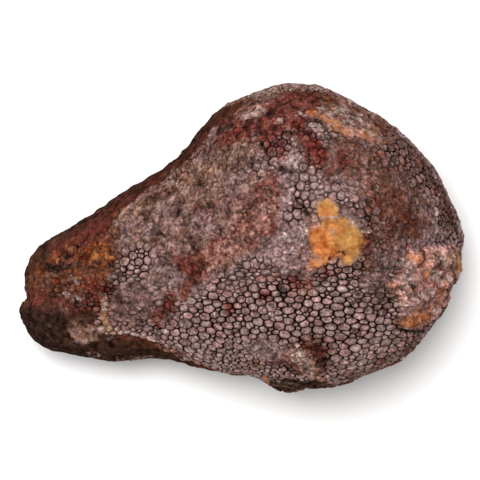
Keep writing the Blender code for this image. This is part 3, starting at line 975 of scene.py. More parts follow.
@dataclass
class Relief:
    """Heights in millimetres of what stands on the head or is sunk in it.

    A range tells how much of a layer starts to show and how much shows in full.
    """

    reaches: tuple[float, ...] = (0.0, 0.5, 0.8, 1.0)  # places in a cell, with their heights below
    domed_cell: tuple[float, ...] = (0.10, 0.06, -0.09, -0.50)
    open_cell: tuple[float, ...] = (-0.38, -0.24, 0.05, -0.34)
    uneven_mm: float = 0.16  # how much one cell stands above the next
    swells: tuple[Swell, ...] = ((0.22, 7.0, 33), (0.16, 3.0, 34))
    grains: tuple[Swell, ...] = ((0.55, 1.0, 30), (0.75, 2.6, 31))
    knob: Swell = (2.2, 3.4, 32)
    nubs: tuple[Swell, ...] = ((0.5, 1.2, 30),)
    knob_base: float = -0.45
    knob_range: tuple[float, float] = (0.3, 0.6)
    crust_range: tuple[float, float] = (0.35, 0.9)
    paste_range: tuple[float, float] = (0.3, 0.6)
    bare_rough_mm: float = 0.04
    rough_mm: tuple[tuple[str, float], ...] = (
        ("worn", 0.32), ("crust", 0.75), ("paste", 0.10), ("pale", 0.10), ("skin", 0.07),
    )
    raised_mm: tuple[tuple[str, float], ...] = (
        ("full", 1.4), ("lean", -0.7), ("crust", 0.95), ("paste", 0.18), ("pale", 0.15),
        ("gap", -0.40),
    )
    wrinkle_mm: float = 1.9  # from one growth ring to the next
    wrinkle_deep_mm: float = 0.16
    wrinkle_long_mm: float = 25.0
    wrinkle_stray: tuple[Swell, ...] = ((1.5, 9.0, 21),)
    wrinkle_seed: int = 22
    narrow_end: tuple[float, float, float] = (-48.0, -12.0, 6.0)  # what the wrinkles circle
    jumble: Swell = (0.4, 1.3, 37)  # pushes cell walls about
    least_jumble: float = 0.2  # shares of the push: of every cell, and added where cells are worn
    worn_jumble: float = 0.4

    def lumps(self, points: np.ndarray, crust: np.ndarray) -> np.ndarray:
        """Lumps, about -1 to 1: grains on bare stone and round knobs on the crust.

        Args:
            points: One row for each point, in millimetres.
            crust: How much crust lies at each point.

        Returns:
            One value for each point.
        """
        grains = swell(points, self.grains)
        share, size, seed = self.knob
        knobs = share * np.abs(waves(points, size, seed)) + swell(points, self.nubs) + self.knob_base
        return grains + smooth_step(*self.knob_range, crust) * (knobs - grains)

    def cells(self, reach: np.ndarray, sink: np.ndarray) -> np.ndarray:
        """The height of domed cells, or of cups where sink is 1."""
        domed = np.interp(reach, self.reaches, self.domed_cell)
        return domed + sink * (np.interp(reach, self.reaches, self.open_cell) - domed)

    def wrinkles(self, points: np.ndarray) -> np.ndarray:
        """Growth rings of the skin, which circle the narrow end.

        Args:
            points: One row for each point, in millimetres.

        Returns:
            One value for each point, about -1 to 1.
        """
        away = points - np.array(self.narrow_end)
        far = np.linalg.norm(away, axis=1) + swell(points, self.wrinkle_stray)
        along, down = away[:, 1] / self.wrinkle_long_mm, away[:, 2] / self.wrinkle_long_mm
        return waves(np.stack([far / self.wrinkle_mm, along, down], axis=1), 1.0, self.wrinkle_seed)

    def height(self, points: np.ndarray, fields: dict[str, np.ndarray]) -> np.ndarray:
        """How far each point stands off the head's smooth shape.

        Args:
            points: One row for each point, in millimetres.
            fields: The values at each point, by name.

        Returns:
            One height for each point.
        """
        crust = smooth_step(*self.crust_range, fields["crust"])
        paste = smooth_step(*self.paste_range, fields["paste"]) * (1 - crust)
        built_up = {**fields, "crust": crust, "paste": paste, "gap": fields["soot"] * (1 - crust)}
        rough = self.bare_rough_mm + sum(share * built_up[name] for name, share in self.rough_mm)
        height = sum(share * built_up[name] for name, share in self.raised_mm) + rough * fields["lump"]
        cells = self.cells(fields["reach"], fields["sink"]) + self.uneven_mm * fields["rise"]
        height += fields["fresh"] * cells + swell(points, self.swells)
        return height + self.wrinkle_deep_mm * fields["skin"] * self.wrinkles(points)

    def jumbled(self, points: np.ndarray, fields: dict[str, np.ndarray]) -> np.ndarray:
        """How far each point is pushed aside, most where the cells are worn or filled.

        Args:
            points: One row for each point, in millimetres.
            fields: The values at each point, by name.

        Returns:
            One row for each point.
        """
        most, size, seed = self.jumble
        share = self.least_jumble + fields["filled"] + self.worn_jumble * fields["worn"]
        share = np.clip(share, 0.0, 1.0)
        return (most * share * (1.0 - fields["crust"]))[:, None] * drift(points, size, seed)


def linear(code: str) -> tuple[float, float, float, float]:
    """An sRGB hex colour as linear red, green, blue and alpha."""
    parts = (int(code[i : i + 2], 16) / 255 for i in (1, 3, 5))
    return (*(c / 12.92 if c <= 0.04045 else ((c + 0.055) / 1.055) ** 2.4 for c in parts), 1.0)


def add_node(
    tree: bpy.types.NodeTree,
    kind: str,
    inputs: dict[str | int | tuple[str, ...], object] | None = None,
    stops: tuple[tuple[float, tuple[float, ...]], ...] = (),
    **settings: object,
) -> bpy.types.Node:
    """Adds one node with its settings and links.

    Args:
        tree: Where the node goes.
        kind: Blender's name for it, without the ShaderNode in front.
        inputs: A socket to link, or a plain value, for each input by name or number. Several names
            together take as many values.
        stops: Place and colour of each stop, for a colour ramp.
        settings: The node's own properties.

    Returns:
        The node.
    """
    made = tree.nodes.new("ShaderNode" + kind)
    for name, value in settings.items():
        setattr(made, name, value)
    for number, (place, colour) in enumerate(stops):
        elements = made.color_ramp.elements
        stop = elements[number] if number < 2 else elements.new(1.0)
        stop.position, stop.color = place, colour
    for names, given in (inputs or {}).items():
        pairs = zip(names, given) if isinstance(names, tuple) else [(names, given)]
        for name, value in pairs:
            if isinstance(value, Socket):
                tree.links.new(value, made.inputs[name])
            else:
                made.inputs[name].default_value = value
    return made


@dataclass(frozen=True)
class Mottle:
    """The three tones of one mineral and the size of the grains that they lie in."""

    dark: str
    middle: str
    light: str
    grain_mm: float

    stops: ClassVar[tuple[float, ...]] = (0.36, 0.5, 0.64)  # places of the tones in the noise
    grain_noise: ClassVar[Noise] = {"Detail": 2.5, "Roughness": 0.6}

    def colour(self, tree: bpy.types.NodeTree, place: Socket, seed: float) -> Socket:
        """The tones mixed by a noise of the grains' size.

        Args:
            tree: The material's nodes.
            place: Where on the head.
            seed: Picks an unrelated noise.

        Returns:
            The colour.
        """
        grain = add_node(
            tree, "TexNoise",
            {"Vector": place, "W": seed, "Scale": 1 / (self.grain_mm * MM), **self.grain_noise},
            noise_dimensions="4D",
        )
        low, middle, high = self.stops
        stops = ((low, linear(self.dark)), (high, linear(self.light)), (middle, linear(self.middle)))
        return add_node(tree, "ValToRGB", {"Fac": grain.outputs["Fac"]}, stops).outputs["Color"]


@dataclass(frozen=True)
class Finish(Mottle):
    """A mineral or a stain that covers the stone where its layer lies, with a broken edge."""

    layer: Layer
    ragged: float = 1.0  # how much the edge is broken up
    ragged_mm: float = 1.3
    soft: float = 0.2
    most: float = 1.0  # how much of it covers the stone where it is thickest

    least: ClassVar[float] = 0.02  # less of the layer than this leaves the stone bare
    edge_noise: ClassVar[Noise] = {"Detail": 4.0, "Roughness": 0.65}
    edge_seed: ClassVar[int] = 40  # keeps the edge's noise apart from the grains'
    noise_range: ClassVar[tuple[float, float]] = (0.32, 0.68)  # where nearly all of a noise lies

    def cover(self, tree: bpy.types.NodeTree, place: Socket, seed: float) -> Socket:
        """How much of what lies below is covered.

        Args:
            tree: The material's nodes.
            place: Where on the head.
            seed: Picks an unrelated noise.

        Returns:
            A share from 0 to 1.
        """
        amount = add_node(tree, "Attribute", attribute_name=self.layer.value).outputs["Fac"]
        rough = add_node(
            tree, "TexNoise",
            {"Vector": place, "W": seed + self.edge_seed, "Scale": 1 / (self.ragged_mm * MM),
             **self.edge_noise}, noise_dimensions="4D",
        )
        spread = add_node(
            tree, "MapRange", {"Value": rough.outputs["Fac"], FROM: self.noise_range}, clamp=False
        )
        total = add_node(
            tree, "Math", {0: spread.outputs["Result"], 1: self.ragged, 2: amount},
            operation="MULTIPLY_ADD",
        )
        edge = (1 + self.ragged) / 2
        mask = add_node(
            tree, "MapRange",
            {"Value": total.outputs[0], FROM: (edge - self.soft, edge + self.soft), "To Max": self.most},
            interpolation_type="SMOOTHSTEP",
        )
        lies = add_node(tree, "Math", {0: amount, 1: self.least}, operation="GREATER_THAN")
        return add_node(
            tree, "Math", {0: mask.outputs["Result"], 1: lies.outputs[0]}, operation="MULTIPLY"
        ).outputs[0]


# Silica in the cells: a dull mauve grey with lighter and darker clots.
CELL_STONE = Mottle("#5c4441", "#785a55", "#9c817c", 1.0)

# From the lowest to the uppermost.
FINISHES: tuple[Finish, ...] = (
    # Broken-up matrix: looks like coarse brown sand.
    Finish("#331a13", "#60403a", "#93736a", 2.0, Layer.WORN, soft=0.3, most=0.9),
    # Weathered outer skin: the darkest and smoothest brown.
    Finish("#190c06", "#311b12", "#492f24", 1.8, Layer.SKIN, ragged=0.6),
    # Chalcedony, bleached chert and drusy crystals: cool grey, warm beige and clotted flesh pink.
    Finish("#4d3436", "#7d5d5e", "#a78a8b", 1.0, Layer.LILAC, soft=0.35, most=0.8),
    Finish("#4b2a1b", "#775241", "#a07d6b", 1.0, Layer.TAN, soft=0.3, most=0.9),
    Finish("#542a21", "#a26b5f", "#d3a59a", 2.2, Layer.CRUST, ragged=0.3, ragged_mm=0.9, soft=0.1),
    # Earth, goethite and haematite: thin washes that let the cells show through.
    # The brown is also painted shade along the dome's rim and the lower edge.
    Finish("#1d0a06", "#44241a", "#71493b", 1.1, Layer.BROWN, soft=0.6, most=0.9),
    Finish("#260b06", "#562514", "#7f4425", 1.2, Layer.RUST, soft=0.6, most=0.85),
    Finish("#260907", "#521e18", "#7a3f36", 1.2, Layer.MAROON, soft=0.55, most=0.92),
    Finish("#5c3128", "#8c5b50", "#b38679", 1.1, Layer.PINK, soft=0.4, most=0.85),
    # Limonite paste: thick, bright and even, so that it hides the cells.
    Finish("#8a5527", "#a56e37", "#b5854f", 1.6, Layer.STRAW, ragged=0.5, ragged_mm=0.8, soft=0.4),
    Finish("#8f481c", "#b36833", "#c37f4b", 1.6, Layer.OCHRE, ragged=0.5, ragged_mm=0.8, soft=0.4),
    # Clear quartz that looks whitish, and moss and gaps that look nearly black.
    # The pale is also painted glints on the crust.
    Finish("#684d46", "#92756e", "#b8a199", 0.8, Layer.PALE, ragged=0.7, most=0.85),
    # The near-black is also painted shade along the lower edges and the dome's rim, and a painted shadow
    # under the crust.
    Finish("#0d0605", "#1f110c", "#3c2b25", 0.9, Layer.SOOT, ragged=0.8, soft=0.3, most=0.9),
)


@dataclass
class FossilStone:
    """Limestone whose cells silica has filled, stained by iron: matt, mottled and gritty to the eye.

    A range tells where in a noise, or in a value stored on the head, something starts and is full.
    """

    sheen: float = 0.0  # dry and porous, so that it mirrors no light
    rough: tuple[float, float] = (0.95, 0.62)  # in the pits and between them
    rough_range: tuple[float, float] = (0.35, 0.65)
    groove: str = "#3a1f19"  # the finish below is multiplied by it
    groove_range: tuple[float, float] = (0.79, 0.90)
    cell_tones: tuple[float, float] = (0.84, 1.18)  # of the darkest and the lightest cell
    painted_dome_tones: tuple[float, float] = (-0.13, 0.17)  # painted shade at a cell's rim, painted highlight in its middle
    dome_range: tuple[float, float] = (0.85, 0.1)
    speck_mm: float = 0.6  # real specks are finer, and are drawn this coarse to show
    speck_noise: ClassVar[Noise] = {"Detail": 1.0, "Roughness": 0.6}
    speck_range: tuple[float, float] = (0.3, 0.7)
    speck_share: float = 0.38
    pit_mm: float = 1.4
    pit_range: tuple[float, float] = (0.45, 0.36)
    low_range: tuple[float, float] = (0.05, -0.55)  # painted shade between the lumps
    crack_mm: float = 2.2
    crack_patch_mm: float = 4.5
    crack_noise: ClassVar[Noise] = {"Detail": 2.0, "Roughness": 0.6}
    crack_at: float = 0.5  # a crack runs where its noise has this value
    crack_range: tuple[float, float] = (0.03, 0.0)
    crack_patch_range: tuple[float, float] = (0.48, 0.58)
    # darker in the bottoms of open cells
    cup_range: tuple[float, float] = (0.6, 0.2)
    dent_tone: float = 0.42
    grain_mm: float = 1.1  # loose pale grains
    grain_draw: tuple[float, float] = (0.55, 0.65)
    grain_range: tuple[float, float] = (0.38, 0.22)
    grain_gain: float = 0.5
    # painted highlight on the tops of lumps
    lump_gain: float = 1.3
    lump_range: tuple[float, float] = (0.1, 0.8)
    tints: tuple[float, float] = (-0.5, 0.5)  # of the reddest and the yellowest cell
    hues: tuple[float, float] = (0.492, 0.508)
    saturations: tuple[float, float] = (1.08, 0.92)
    grit_mm: float = 0.45  # real grit is finer, and is drawn this coarse to show
    grit_depth_mm: float = 0.16
    fine_noise: ClassVar[Noise] = {"Detail": 3.0, "Roughness": 0.6}  # of the pits and the grit
    stored: tuple[str, ...] = ("reach", "fresh", "tone", "tint", "sink", "lump", "calm")
    tree: bpy.types.NodeTree = field(init=False)
    place: Socket = field(init=False)  # where on the head
    values: dict[str, Socket] = field(init=False)  # what is stored on the head, by name

    def build(self) -> bpy.types.Material:
        """The material: the finishes in layers, then light and dark, the grooves and the grit.

        Returns:
            The material, to be put on the head.
        """
        material = bpy.data.materials.new("iron_stained_fossil_limestone")
        material.use_nodes = True
        self.tree = tree = material.node_tree
        self.place = add_node(tree, "TexCoord").outputs["Object"]
        self.values = {
            name: add_node(tree, "Attribute", attribute_name=name).outputs["Fac"]
            for name in self.stored
        }
        pits, grit = (
            add_node(
                tree, "TexNoise", {"Vector": self.place, "Scale": 1 / (size * MM), **self.fine_noise}
            ).outputs["Fac"]
            for size in (self.pit_mm, self.grit_mm)
        )
        tones = (
            self._speckle(), self._cell_tone(), self._painted_dome_light(), self._dents(pits),
            self._bright_grains(),
        )
        colour = self._grooved(self._toned(self._layers(), tones))
        gloss = add_node(tree, "MapRange", {"Value": pits, FROM: self.rough_range, TO: self.rough})
        bump = add_node(
            tree, "Bump", {"Height": grit, "Distance": self.grit_depth_mm * MM, "Strength": 1.0}
        )
        surface = tree.nodes["Principled BSDF"]
        surface.inputs["Specular IOR Level"].default_value = self.sheen
        tree.links.new(colour, surface.inputs["Base Color"])
        tree.links.new(gloss.outputs["Result"], surface.inputs["Roughness"])
        tree.links.new(bump.outputs["Normal"], surface.inputs["Normal"])
        return material

    def _layers(self) -> Socket:
        """The stone of the cells with every finish laid over it.

        Returns:
            The colour.
        """
        colour = CELL_STONE.colour(self.tree, self.place, 0.0)
        for number, finish in enumerate(FINISHES, 1):
            cover = finish.cover(self.tree, self.place, number)
            laid = finish.colour(self.tree, self.place, number)
            colour = add_node(
                self.tree, "Mix", {"Factor": cover, "A": colour, "B": laid}, data_type="RGBA"
            ).outputs[2]
        return colour

    def _toned(self, colour: Socket, tones: tuple[Socket, ...]) -> Socket:
        """A colour made lighter or darker by some tones, and its hue turned a little cell by cell.

        Args:
            colour: The colour below.
            tones: What it is multiplied by.

        Returns:
            The new colour.
        """
        total = tones[0]
        for tone in tones[1:]:
            total = add_node(self.tree, "Math", {0: total, 1: tone}, operation="MULTIPLY").outputs[0]
        hue, saturation = (
            add_node(
                self.tree, "MapRange", {"Value": self.values["tint"], FROM: self.tints, TO: ends},
                interpolation_type="SMOOTHSTEP",
            ).outputs["Result"]
            for ends in (self.hues, self.saturations)
        )
        return add_node(
            self.tree, "HueSaturation",
            {"Color": colour, "Value": total, "Hue": hue, "Saturation": saturation},
        ).outputs["Color"]

    def _grooved(self, colour: Socket) -> Socket:
        """A colour with dark earth in the grooves between fresh cells.

        Args:
            colour: The colour below.

        Returns:
            The new colour.
        """
        line = add_node(
            self.tree, "MapRange", {"Value": self.values["reach"], FROM: self.groove_range},
            interpolation_type="SMOOTHSTEP",
        ).outputs["Result"]
        share = add_node(
            self.tree, "Math", {0: line, 1: self.values["fresh"]}, operation="MULTIPLY"
        ).outputs[0]
        return add_node(
            self.tree, "Mix", {"Factor": share, "A": colour, "B": linear(self.groove)},
            data_type="RGBA", blend_type="MULTIPLY",
        ).outputs[2]

    def _speckle(self) -> Socket:
        """Light and dark specks, which calm places have few of.

        Returns:
            A tone, 1 where there is no speck.
        """
        specks = add_node(
            self.tree, "TexNoise",
            {"Vector": self.place, "Scale": 1 / (self.speck_mm * MM), **self.speck_noise},
        ).outputs["Fac"]
        ends = (-self.speck_share, self.speck_share)
        change = add_node(
            self.tree, "MapRange", {"Value": specks, FROM: self.speck_range, TO: ends},
            interpolation_type="SMOOTHSTEP",
        ).outputs["Result"]
        return add_node(
            self.tree, "Math", {0: change, 1: self.values["calm"], 2: 1.0},
            operation="MULTIPLY_ADD",
        ).outputs[0]

    def _cell_tone(self) -> Socket:
        """Each cell's own tone.

        Returns:
            A tone.
        """
        return add_node(
            self.tree, "MapRange", {"Value": self.values["tone"], TO: self.cell_tones},
            interpolation_type="SMOOTHSTEP",
        ).outputs["Result"]

    def _painted_dome_light(self) -> Socket:
        """Painted shade at a fresh cell's rim and a painted highlight in its middle, as on a lit dome.

        Returns:
            A tone, 1 where the cells are worn.
        """
        change = add_node(
            self.tree, "MapRange",
            {"Value": self.values["reach"], FROM: self.dome_range, TO: self.painted_dome_tones},
            interpolation_type="SMOOTHSTEP",
        ).outputs["Result"]
        return add_node(
            self.tree, "Math", {0: change, 1: self.values["fresh"], 2: 1.0},
            operation="MULTIPLY_ADD",
        ).outputs[0]

    def _dents(self, pits: Socket) -> Socket:
        """Dark pits and cracks of broken stone, painted shade between lumps, dark bottoms of open cells.

        Args:
            pits: A noise that is low in the pits.

        Returns:
            A tone, 1 outside the dents.
        """
        tree, values = self.tree, self.values
        ridge, patch = (
            add_node(
                tree, "TexNoise",
                {"Vector": self.place, "Scale": 1 / (size * MM), **self.crack_noise},
            ).outputs["Fac"]
            for size in (self.crack_mm, self.crack_patch_mm)
        )
        aside = add_node(tree, "Math", {0: ridge, 1: self.crack_at}, operation="SUBTRACT").outputs[0]
        beside = add_node(tree, "Math", {0: aside}, operation="ABSOLUTE").outputs[0]
        pitted, low, cracked, patchy, hollow = (
            add_node(
                tree, "MapRange", {"Value": value, FROM: ends}, interpolation_type="SMOOTHSTEP"
            ).outputs["Result"]
            for value, ends in (
                (pits, self.pit_range), (values["lump"], self.low_range), (beside, self.crack_range),
                (patch, self.crack_patch_range), (values["reach"], self.cup_range),
            )
        )
        broken = add_node(tree, "Math", {0: 1.0, 1: values["fresh"]}, operation="SUBTRACT").outputs[0]
        crack = add_node(tree, "Math", {0: cracked, 1: patchy}, operation="MULTIPLY").outputs[0]
        dent = add_node(tree, "Math", {0: pitted, 1: low}, operation="MAXIMUM").outputs[0]
        dent = add_node(tree, "Math", {0: dent, 1: crack}, operation="MAXIMUM").outputs[0]
        for share in (broken, values["calm"]):
            dent = add_node(tree, "Math", {0: dent, 1: share}, operation="MULTIPLY").outputs[0]
        for share in (values["sink"], values["fresh"]):
            hollow = add_node(tree, "Math", {0: hollow, 1: share}, operation="MULTIPLY").outputs[0]
        either = add_node(tree, "Math", {0: dent, 1: hollow}, operation="MAXIMUM").outputs[0]
        return add_node(
            tree, "MapRange", {"Value": either, TO: (1.0, self.dent_tone)},
            interpolation_type="SMOOTHSTEP",
        ).outputs["Result"]

    def _bright_grains(self) -> Socket:
        """Loose pale grains here and there, and the lit tops of lumps.

        Returns:
            A tone, 1 on plain stone.
        """
        tree, values = self.tree, self.values
        spots = add_node(
            tree, "TexVoronoi", {"Vector": self.place, "Scale": 1 / (self.grain_mm * MM)}
        ).outputs
        draw = add_node(tree, "SeparateColor", {"Color": spots["Color"]}).outputs[0]
        picked, grain, raised = (
            add_node(
                tree, "MapRange", {"Value": value, FROM: ends, TO: tones},
                interpolation_type="SMOOTHSTEP",
            ).outputs["Result"]
            for value, ends, tones in (
                (draw, self.grain_draw, (0.0, 1.0)), (spots["Distance"], self.grain_range, (0.0, 1.0)),
                (values["lump"], self.lump_range, (1.0, self.lump_gain)),
            )
        )
        for share in (picked, values["calm"]):
            grain = add_node(tree, "Math", {0: grain, 1: share}, operation="MULTIPLY").outputs[0]
        return add_node(
            tree, "Math", {0: grain, 1: self.grain_gain, 2: raised}, operation="MULTIPLY_ADD"
        ).outputs[0]


@dataclass
class UnseenSide:
    """What the eye above doesn't see: the skin round the underside, and stains on the flanks.

    How far a place faces up is 1 on top, 0 on a wall and -1 below.
    """

    far_from_to: tuple[float, float] = (0.0, 6.0)  # across the head: the far side starts and is full
    neck_from_to: tuple[float, float] = (0.0, -8.0)  # along it
    narrow_places: tuple[float, ...] = (-24.0, -16.0, 4.0)
    narrow_shares: tuple[float, ...] = (1.0, 0.75, 0.0)
    skin_rise: float = 0.55  # how much higher the skin climbs on the far side and the narrow end
    skin_base: float = 0.12
    skin_blur: float = -0.2
    wander: tuple[Swell, ...] = ((0.38, 11.0, 41), (0.2, 5.0, 42))
    octaves: int = 3
    flank: tuple[float, float] = (0.25, 0.0)  # how little a stained flank faces up
    stain_mm: float = 9.0
    stain_blur: float = 0.3
    most_stain: float = 0.8
    stains: tuple[tuple[Layer, int, float], ...] = (  # seed, and how rare each is
        (Layer.RUST, 43, 0.25), (Layer.BROWN, 44, 0.1), (Layer.WORN, 45, 0.2), (Layer.TAN, 46, 0.3),
    )

    def add(self, points: np.ndarray, normals: np.ndarray, found: dict[str, np.ndarray]) -> None:
        """Adds the skin and the stains to what the strokes have laid.

        Args:
            points: One row for each vertex, in millimetres.
            normals: Which way each vertex faces.
            found: How much of each layer there is, by name.
        """
        upward = normals[:, 2]
        far_side = smooth_step(*self.far_from_to, points[:, 1])
        far_side *= smooth_step(*self.neck_from_to, points[:, 0])
        narrow = np.interp(points[:, 0], self.narrow_places, self.narrow_shares)
        start = self.skin_rise * np.maximum(far_side, narrow) - self.skin_base
        wander = swell(points, self.wander, self.octaves)
        skin = smooth_step(0.0, self.skin_blur, upward - start + wander)
        found["skin"] = np.maximum(found["skin"], skin)
        flank = smooth_step(*self.flank, upward)
        for layer, seed, rare in self.stains:
            noises = waves(points, self.stain_mm, seed, self.octaves)
            wild = smooth_step(rare, rare + self.stain_blur, noises)
            found[layer.value] = np.maximum(found[layer.value], self.most_stain * wild * flank)


@dataclass
class CoralHead:
    """The fossil: one closed skin of cells over the CAD head."""

    name: str = "coral_head_stone"
    net: CellNet = field(default_factory=CellNet)
    shape: CellShape = field(default_factory=CellShape)
    relief: Relief = field(default_factory=Relief)
    stone: FossilStone = field(default_factory=FossilStone)
    unseen: UnseenSide = field(default_factory=UnseenSide)
    weld: float = 1e-6  # corners of the frame's mesh this near each other, in metres, are one
    cup_draw: tuple[float, float] = (0.93, 1.0)  # a draw past these makes a cell a cup
    open_gain: float = 0.5  # added to the draw where cells are open
    rubbed_least: float = 0.95
    rubbed_swells: tuple[Swell, ...] = ((0.35, 4.5, 36),)
    packed_least: float = 0.9
    packed_lumps: float = 0.3
    hard_share: float = 0.5  # how much less the hardest cells are covered
    hard_power: int = 6  # the higher, the fewer cells are hard
    cover_range: tuple[float, float] = (0.2, 0.95)  # how much cover starts to hide a cell and hides it
    paste_range: tuple[float, float] = (0.3, 0.6)
    calming: tuple[tuple[str, float], ...] = (("paste", 1.0), ("skin", 0.7), ("crust", 0.38))
    most_calm: float = 0.75
    seed: int = 5

    def build(self) -> bpy.types.Object:
        """Makes the piece and puts it on its body.

        Returns:
            The finished piece.
        """
        bm = bmesh.new()
        bm.from_mesh(bpy.data.objects[NODE].data)
        bmesh.ops.remove_doubles(bm, verts=list(bm.verts), dist=self.weld)
        bmesh.ops.scale(bm, vec=(1 / MM,) * 3, verts=list(bm.verts))
        bmesh.ops.recalc_face_normals(bm, faces=list(bm.faces))
        places = StrokeMap(BVHTree.FromBMesh(bm), STROKES)
        self.net.lay(bm, places)
        self.shape.ring(bm)
        bm.normal_update()
        mesh = bpy.data.meshes.new(self.name)
        bm.to_mesh(mesh)
        bm.free()
        self._carve(mesh, places)
        mesh.materials.append(self.stone.build())
        piece = bpy.data.objects.new(self.name, mesh)
        bpy.context.collection.objects.link(piece)
        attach(piece, "root")
        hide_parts(NODE)
        return piece

    @staticmethod
    def _read(mesh: bpy.types.Mesh, name: str, width: int = 1) -> np.ndarray:
        """One value or row of values for each vertex, from the mesh's own arrays.

        Args:
            mesh: The mesh.
            name: The array's name.
            width: Values in a row.

        Returns:
            The values.
        """
        values = np.empty(len(mesh.vertices) * width, dtype=np.float32)
        if name in ("co", "normal"):
            mesh.vertices.foreach_get(name, values)
        else:
            mesh.attributes[name].data.foreach_get("value", values)
        return values.reshape(-1, width).astype(float) if width > 1 else values.astype(float)

    def _fields(self, mesh: bpy.types.Mesh, places: StrokeMap) -> dict[str, np.ndarray]:
        """Everything that relief and colour go by, for each vertex.

        Args:
            mesh: The ringed cells, still on the head's smooth shape.
            places: Where the layers lie.

        Returns:
            One array for each name.
        """
        points, normals = self._read(mesh, "co", 3), self._read(mesh, "normal", 3)
        found = {layer.value: amount for layer, amount in places.amounts(points).items()}
        self.unseen.add(points, normals, found)
        found["paste"] = np.maximum(found["ochre"], found["straw"])
        found["lump"] = self.relief.lumps(points, found["crust"])
        found["reach"] = self._read(mesh, "reach")
        hardness = self._draw_cells(mesh, found)
        rubbed = found["worn"] * (self.rubbed_least + swell(points, self.rubbed_swells))
        packed = found["filled"] * (self.packed_least + self.packed_lumps * found["lump"])
        cover = np.maximum.reduce([rubbed, packed, found["crust"], found["skin"], found["pale"]])
        pasted = smooth_step(*self.paste_range, found["paste"])
        hidden = smooth_step(*self.cover_range, cover - self.hard_share * hardness**self.hard_power)
        found["fresh"] = 1.0 - np.maximum(hidden, pasted)
        smoothed = np.maximum.reduce([share * found[name] for name, share in self.calming])
        found["calm"] = 1.0 - self.most_calm * smooth_step(*self.paste_range, smoothed)
        found["tint"] *= found["fresh"]
        return found

    def _draw_cells(self, mesh: bpy.types.Mesh, found: dict[str, np.ndarray]) -> np.ndarray:
        """Draws each cell's tone, tint, rise and whether it is a cup.

        Args:
            mesh: The ringed cells.
            found: Arrays by name, which these are added to.

        Returns:
            How well each cell has kept its shape, from 0 to 1, for each vertex.
        """
        owner = np.empty(len(mesh.vertices), dtype=np.int32)
        mesh.attributes["owner"].data.foreach_get("value", owner)
        draws = np.random.default_rng(self.seed).random((owner.max() + 2, 5))
        draws[-1] = 0.5  # the grooves, which no cell owns
        tone, cup, rise, hardness, tint = draws[owner].T
        found["tone"] = tone
        found["tint"] = tint - 0.5
        found["rise"] = rise - 0.5
        found["sink"] = smooth_step(*self.cup_draw, cup + self.open_gain * found["open"])
        return hardness

    def _carve(self, mesh: bpy.types.Mesh, places: StrokeMap) -> None:
        """Moves the vertices to their heights, in metres, and stores what the finish reads.

        Args:
            mesh: The ringed cells, still on the head's smooth shape.
            places: Where the layers lie.
        """
        found = self._fields(mesh, places)
        points, normals = self._read(mesh, "co", 3), self._read(mesh, "normal", 3)
        points += self.relief.jumbled(points, found)
        points += normals * self.relief.height(points, found)[:, None]
        points[:, 2] = np.maximum(points[:, 2], 0.0)
        mesh.vertices.foreach_set("co", (points * MM).ravel())
        for name in (*self.stone.stored, *(finish.layer.value for finish in FINISHES)):
            layer = mesh.attributes.get(name) or mesh.attributes.new(name, "FLOAT", "POINT")
            layer.data.foreach_set("value", found[name])
        mesh.shade_smooth()
        mesh.update()


@dataclass(frozen=True)
class MattPaper:
    """Uncoated card: pale, even and without shine."""

    colour: str = "#f6f5f4"
    rough: float = 0.9
    fibre_mm: float = 1.5  # real fibres are finer, and are drawn this coarse to show
    fibre_depth_mm: float = 0.02
    detail: float = 3.0  # how many finer fibres lie between

    def build(self) -> bpy.types.Material:
        """The material, to be put on the table.

        Returns:
            The material.
        """
        material = bpy.data.materials.new("matt_paper")
        material.use_nodes = True
        tree = material.node_tree
        place = add_node(tree, "TexCoord").outputs["Object"]
        fibres = add_node(
            tree, "TexNoise",
            {"Vector": place, "Scale": 1 / (self.fibre_mm * MM), "Detail": self.detail},
        )
        bump = add_node(
            tree, "Bump", {"Height": fibres.outputs["Fac"], "Distance": self.fibre_depth_mm * MM}
        )
        surface = tree.nodes["Principled BSDF"]
        surface.inputs["Base Color"].default_value = linear(self.colour)
        surface.inputs["Roughness"].default_value = self.rough
        tree.links.new(bump.outputs["Normal"], surface.inputs["Normal"])
        return material


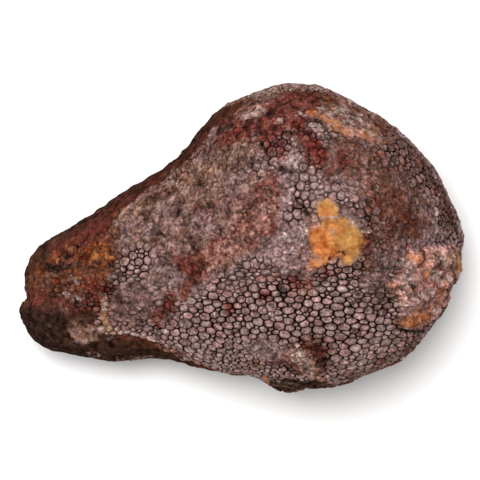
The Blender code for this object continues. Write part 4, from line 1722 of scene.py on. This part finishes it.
@dataclass
class Studio:
    """The table, the light and the camera."""

    table_size: float = 6.0  # metres
    paper: MattPaper = field(default_factory=MattPaper)
    light_from: tuple[float, float, float] = (-0.14, 0.22, 1.0)
    light_spread: float = 28.0  # degrees across, as a wide soft box a little way off
    light_strength: float = 3.0
    room_strength: float = 0.6

    def build(self) -> bpy.types.Object:
        """Makes the table, the camera, the soft light and the light of the room.

        Returns:
            The table.
        """
        self._add_camera()
        self._add_light()
        self._add_room()
        return self._add_table()

    def _add_table(self) -> bpy.types.Object:
        """A sheet of card that reaches past every view.

        Returns:
            The table.
        """
        bm = bmesh.new()
        bmesh.ops.create_grid(bm, x_segments=1, y_segments=1, size=self.table_size / 2)
        mesh = bpy.data.meshes.new("table_top")
        bm.to_mesh(mesh)
        bm.free()
        mesh.materials.append(self.paper.build())
        table = bpy.data.objects.new("table_top", mesh)
        bpy.context.collection.objects.link(table)
        return table

    @staticmethod
    def _add_camera() -> None:
        """A long lens that looks straight down."""
        camera = bpy.data.cameras.new("camera")
        camera.lens, camera.sensor_width = LENS_MM, SENSOR_MM
        seat = bpy.data.objects.new("camera", camera)
        seat.location = EYE_MM * MM
        bpy.context.collection.objects.link(seat)
        bpy.context.scene.camera = seat

    def _add_light(self) -> None:
        """One wide soft light from above."""
        lamp = bpy.data.lights.new("soft_light", "SUN")
        lamp.energy, lamp.angle = self.light_strength, math.radians(self.light_spread)
        stand = bpy.data.objects.new("soft_light", lamp)
        stand.rotation_euler = (-Vector(self.light_from)).to_track_quat("-Z", "Y").to_euler()
        bpy.context.collection.objects.link(stand)

    def _add_room(self) -> None:
        """An even glow from all round."""
        world = bpy.data.worlds.new("room")
        world.use_nodes = True
        glow = world.node_tree.nodes["Background"].inputs
        glow["Color"].default_value = (1.0, 1.0, 1.0, 1.0)
        glow["Strength"].default_value = self.room_strength
        bpy.context.scene.world = world
        bpy.context.scene.view_settings.view_transform = "Standard"


def main() -> None:
    """Builds the scene piece by piece."""
    logging.basicConfig(level=logging.INFO, format="%(name)s: %(message)s")
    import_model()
    for part in (Studio(), CoralHead()):
        piece = part.build()
        LOG.info("%s: %d faces", piece.name, len(piece.data.polygons))


if __name__ == "__main__":
    main()
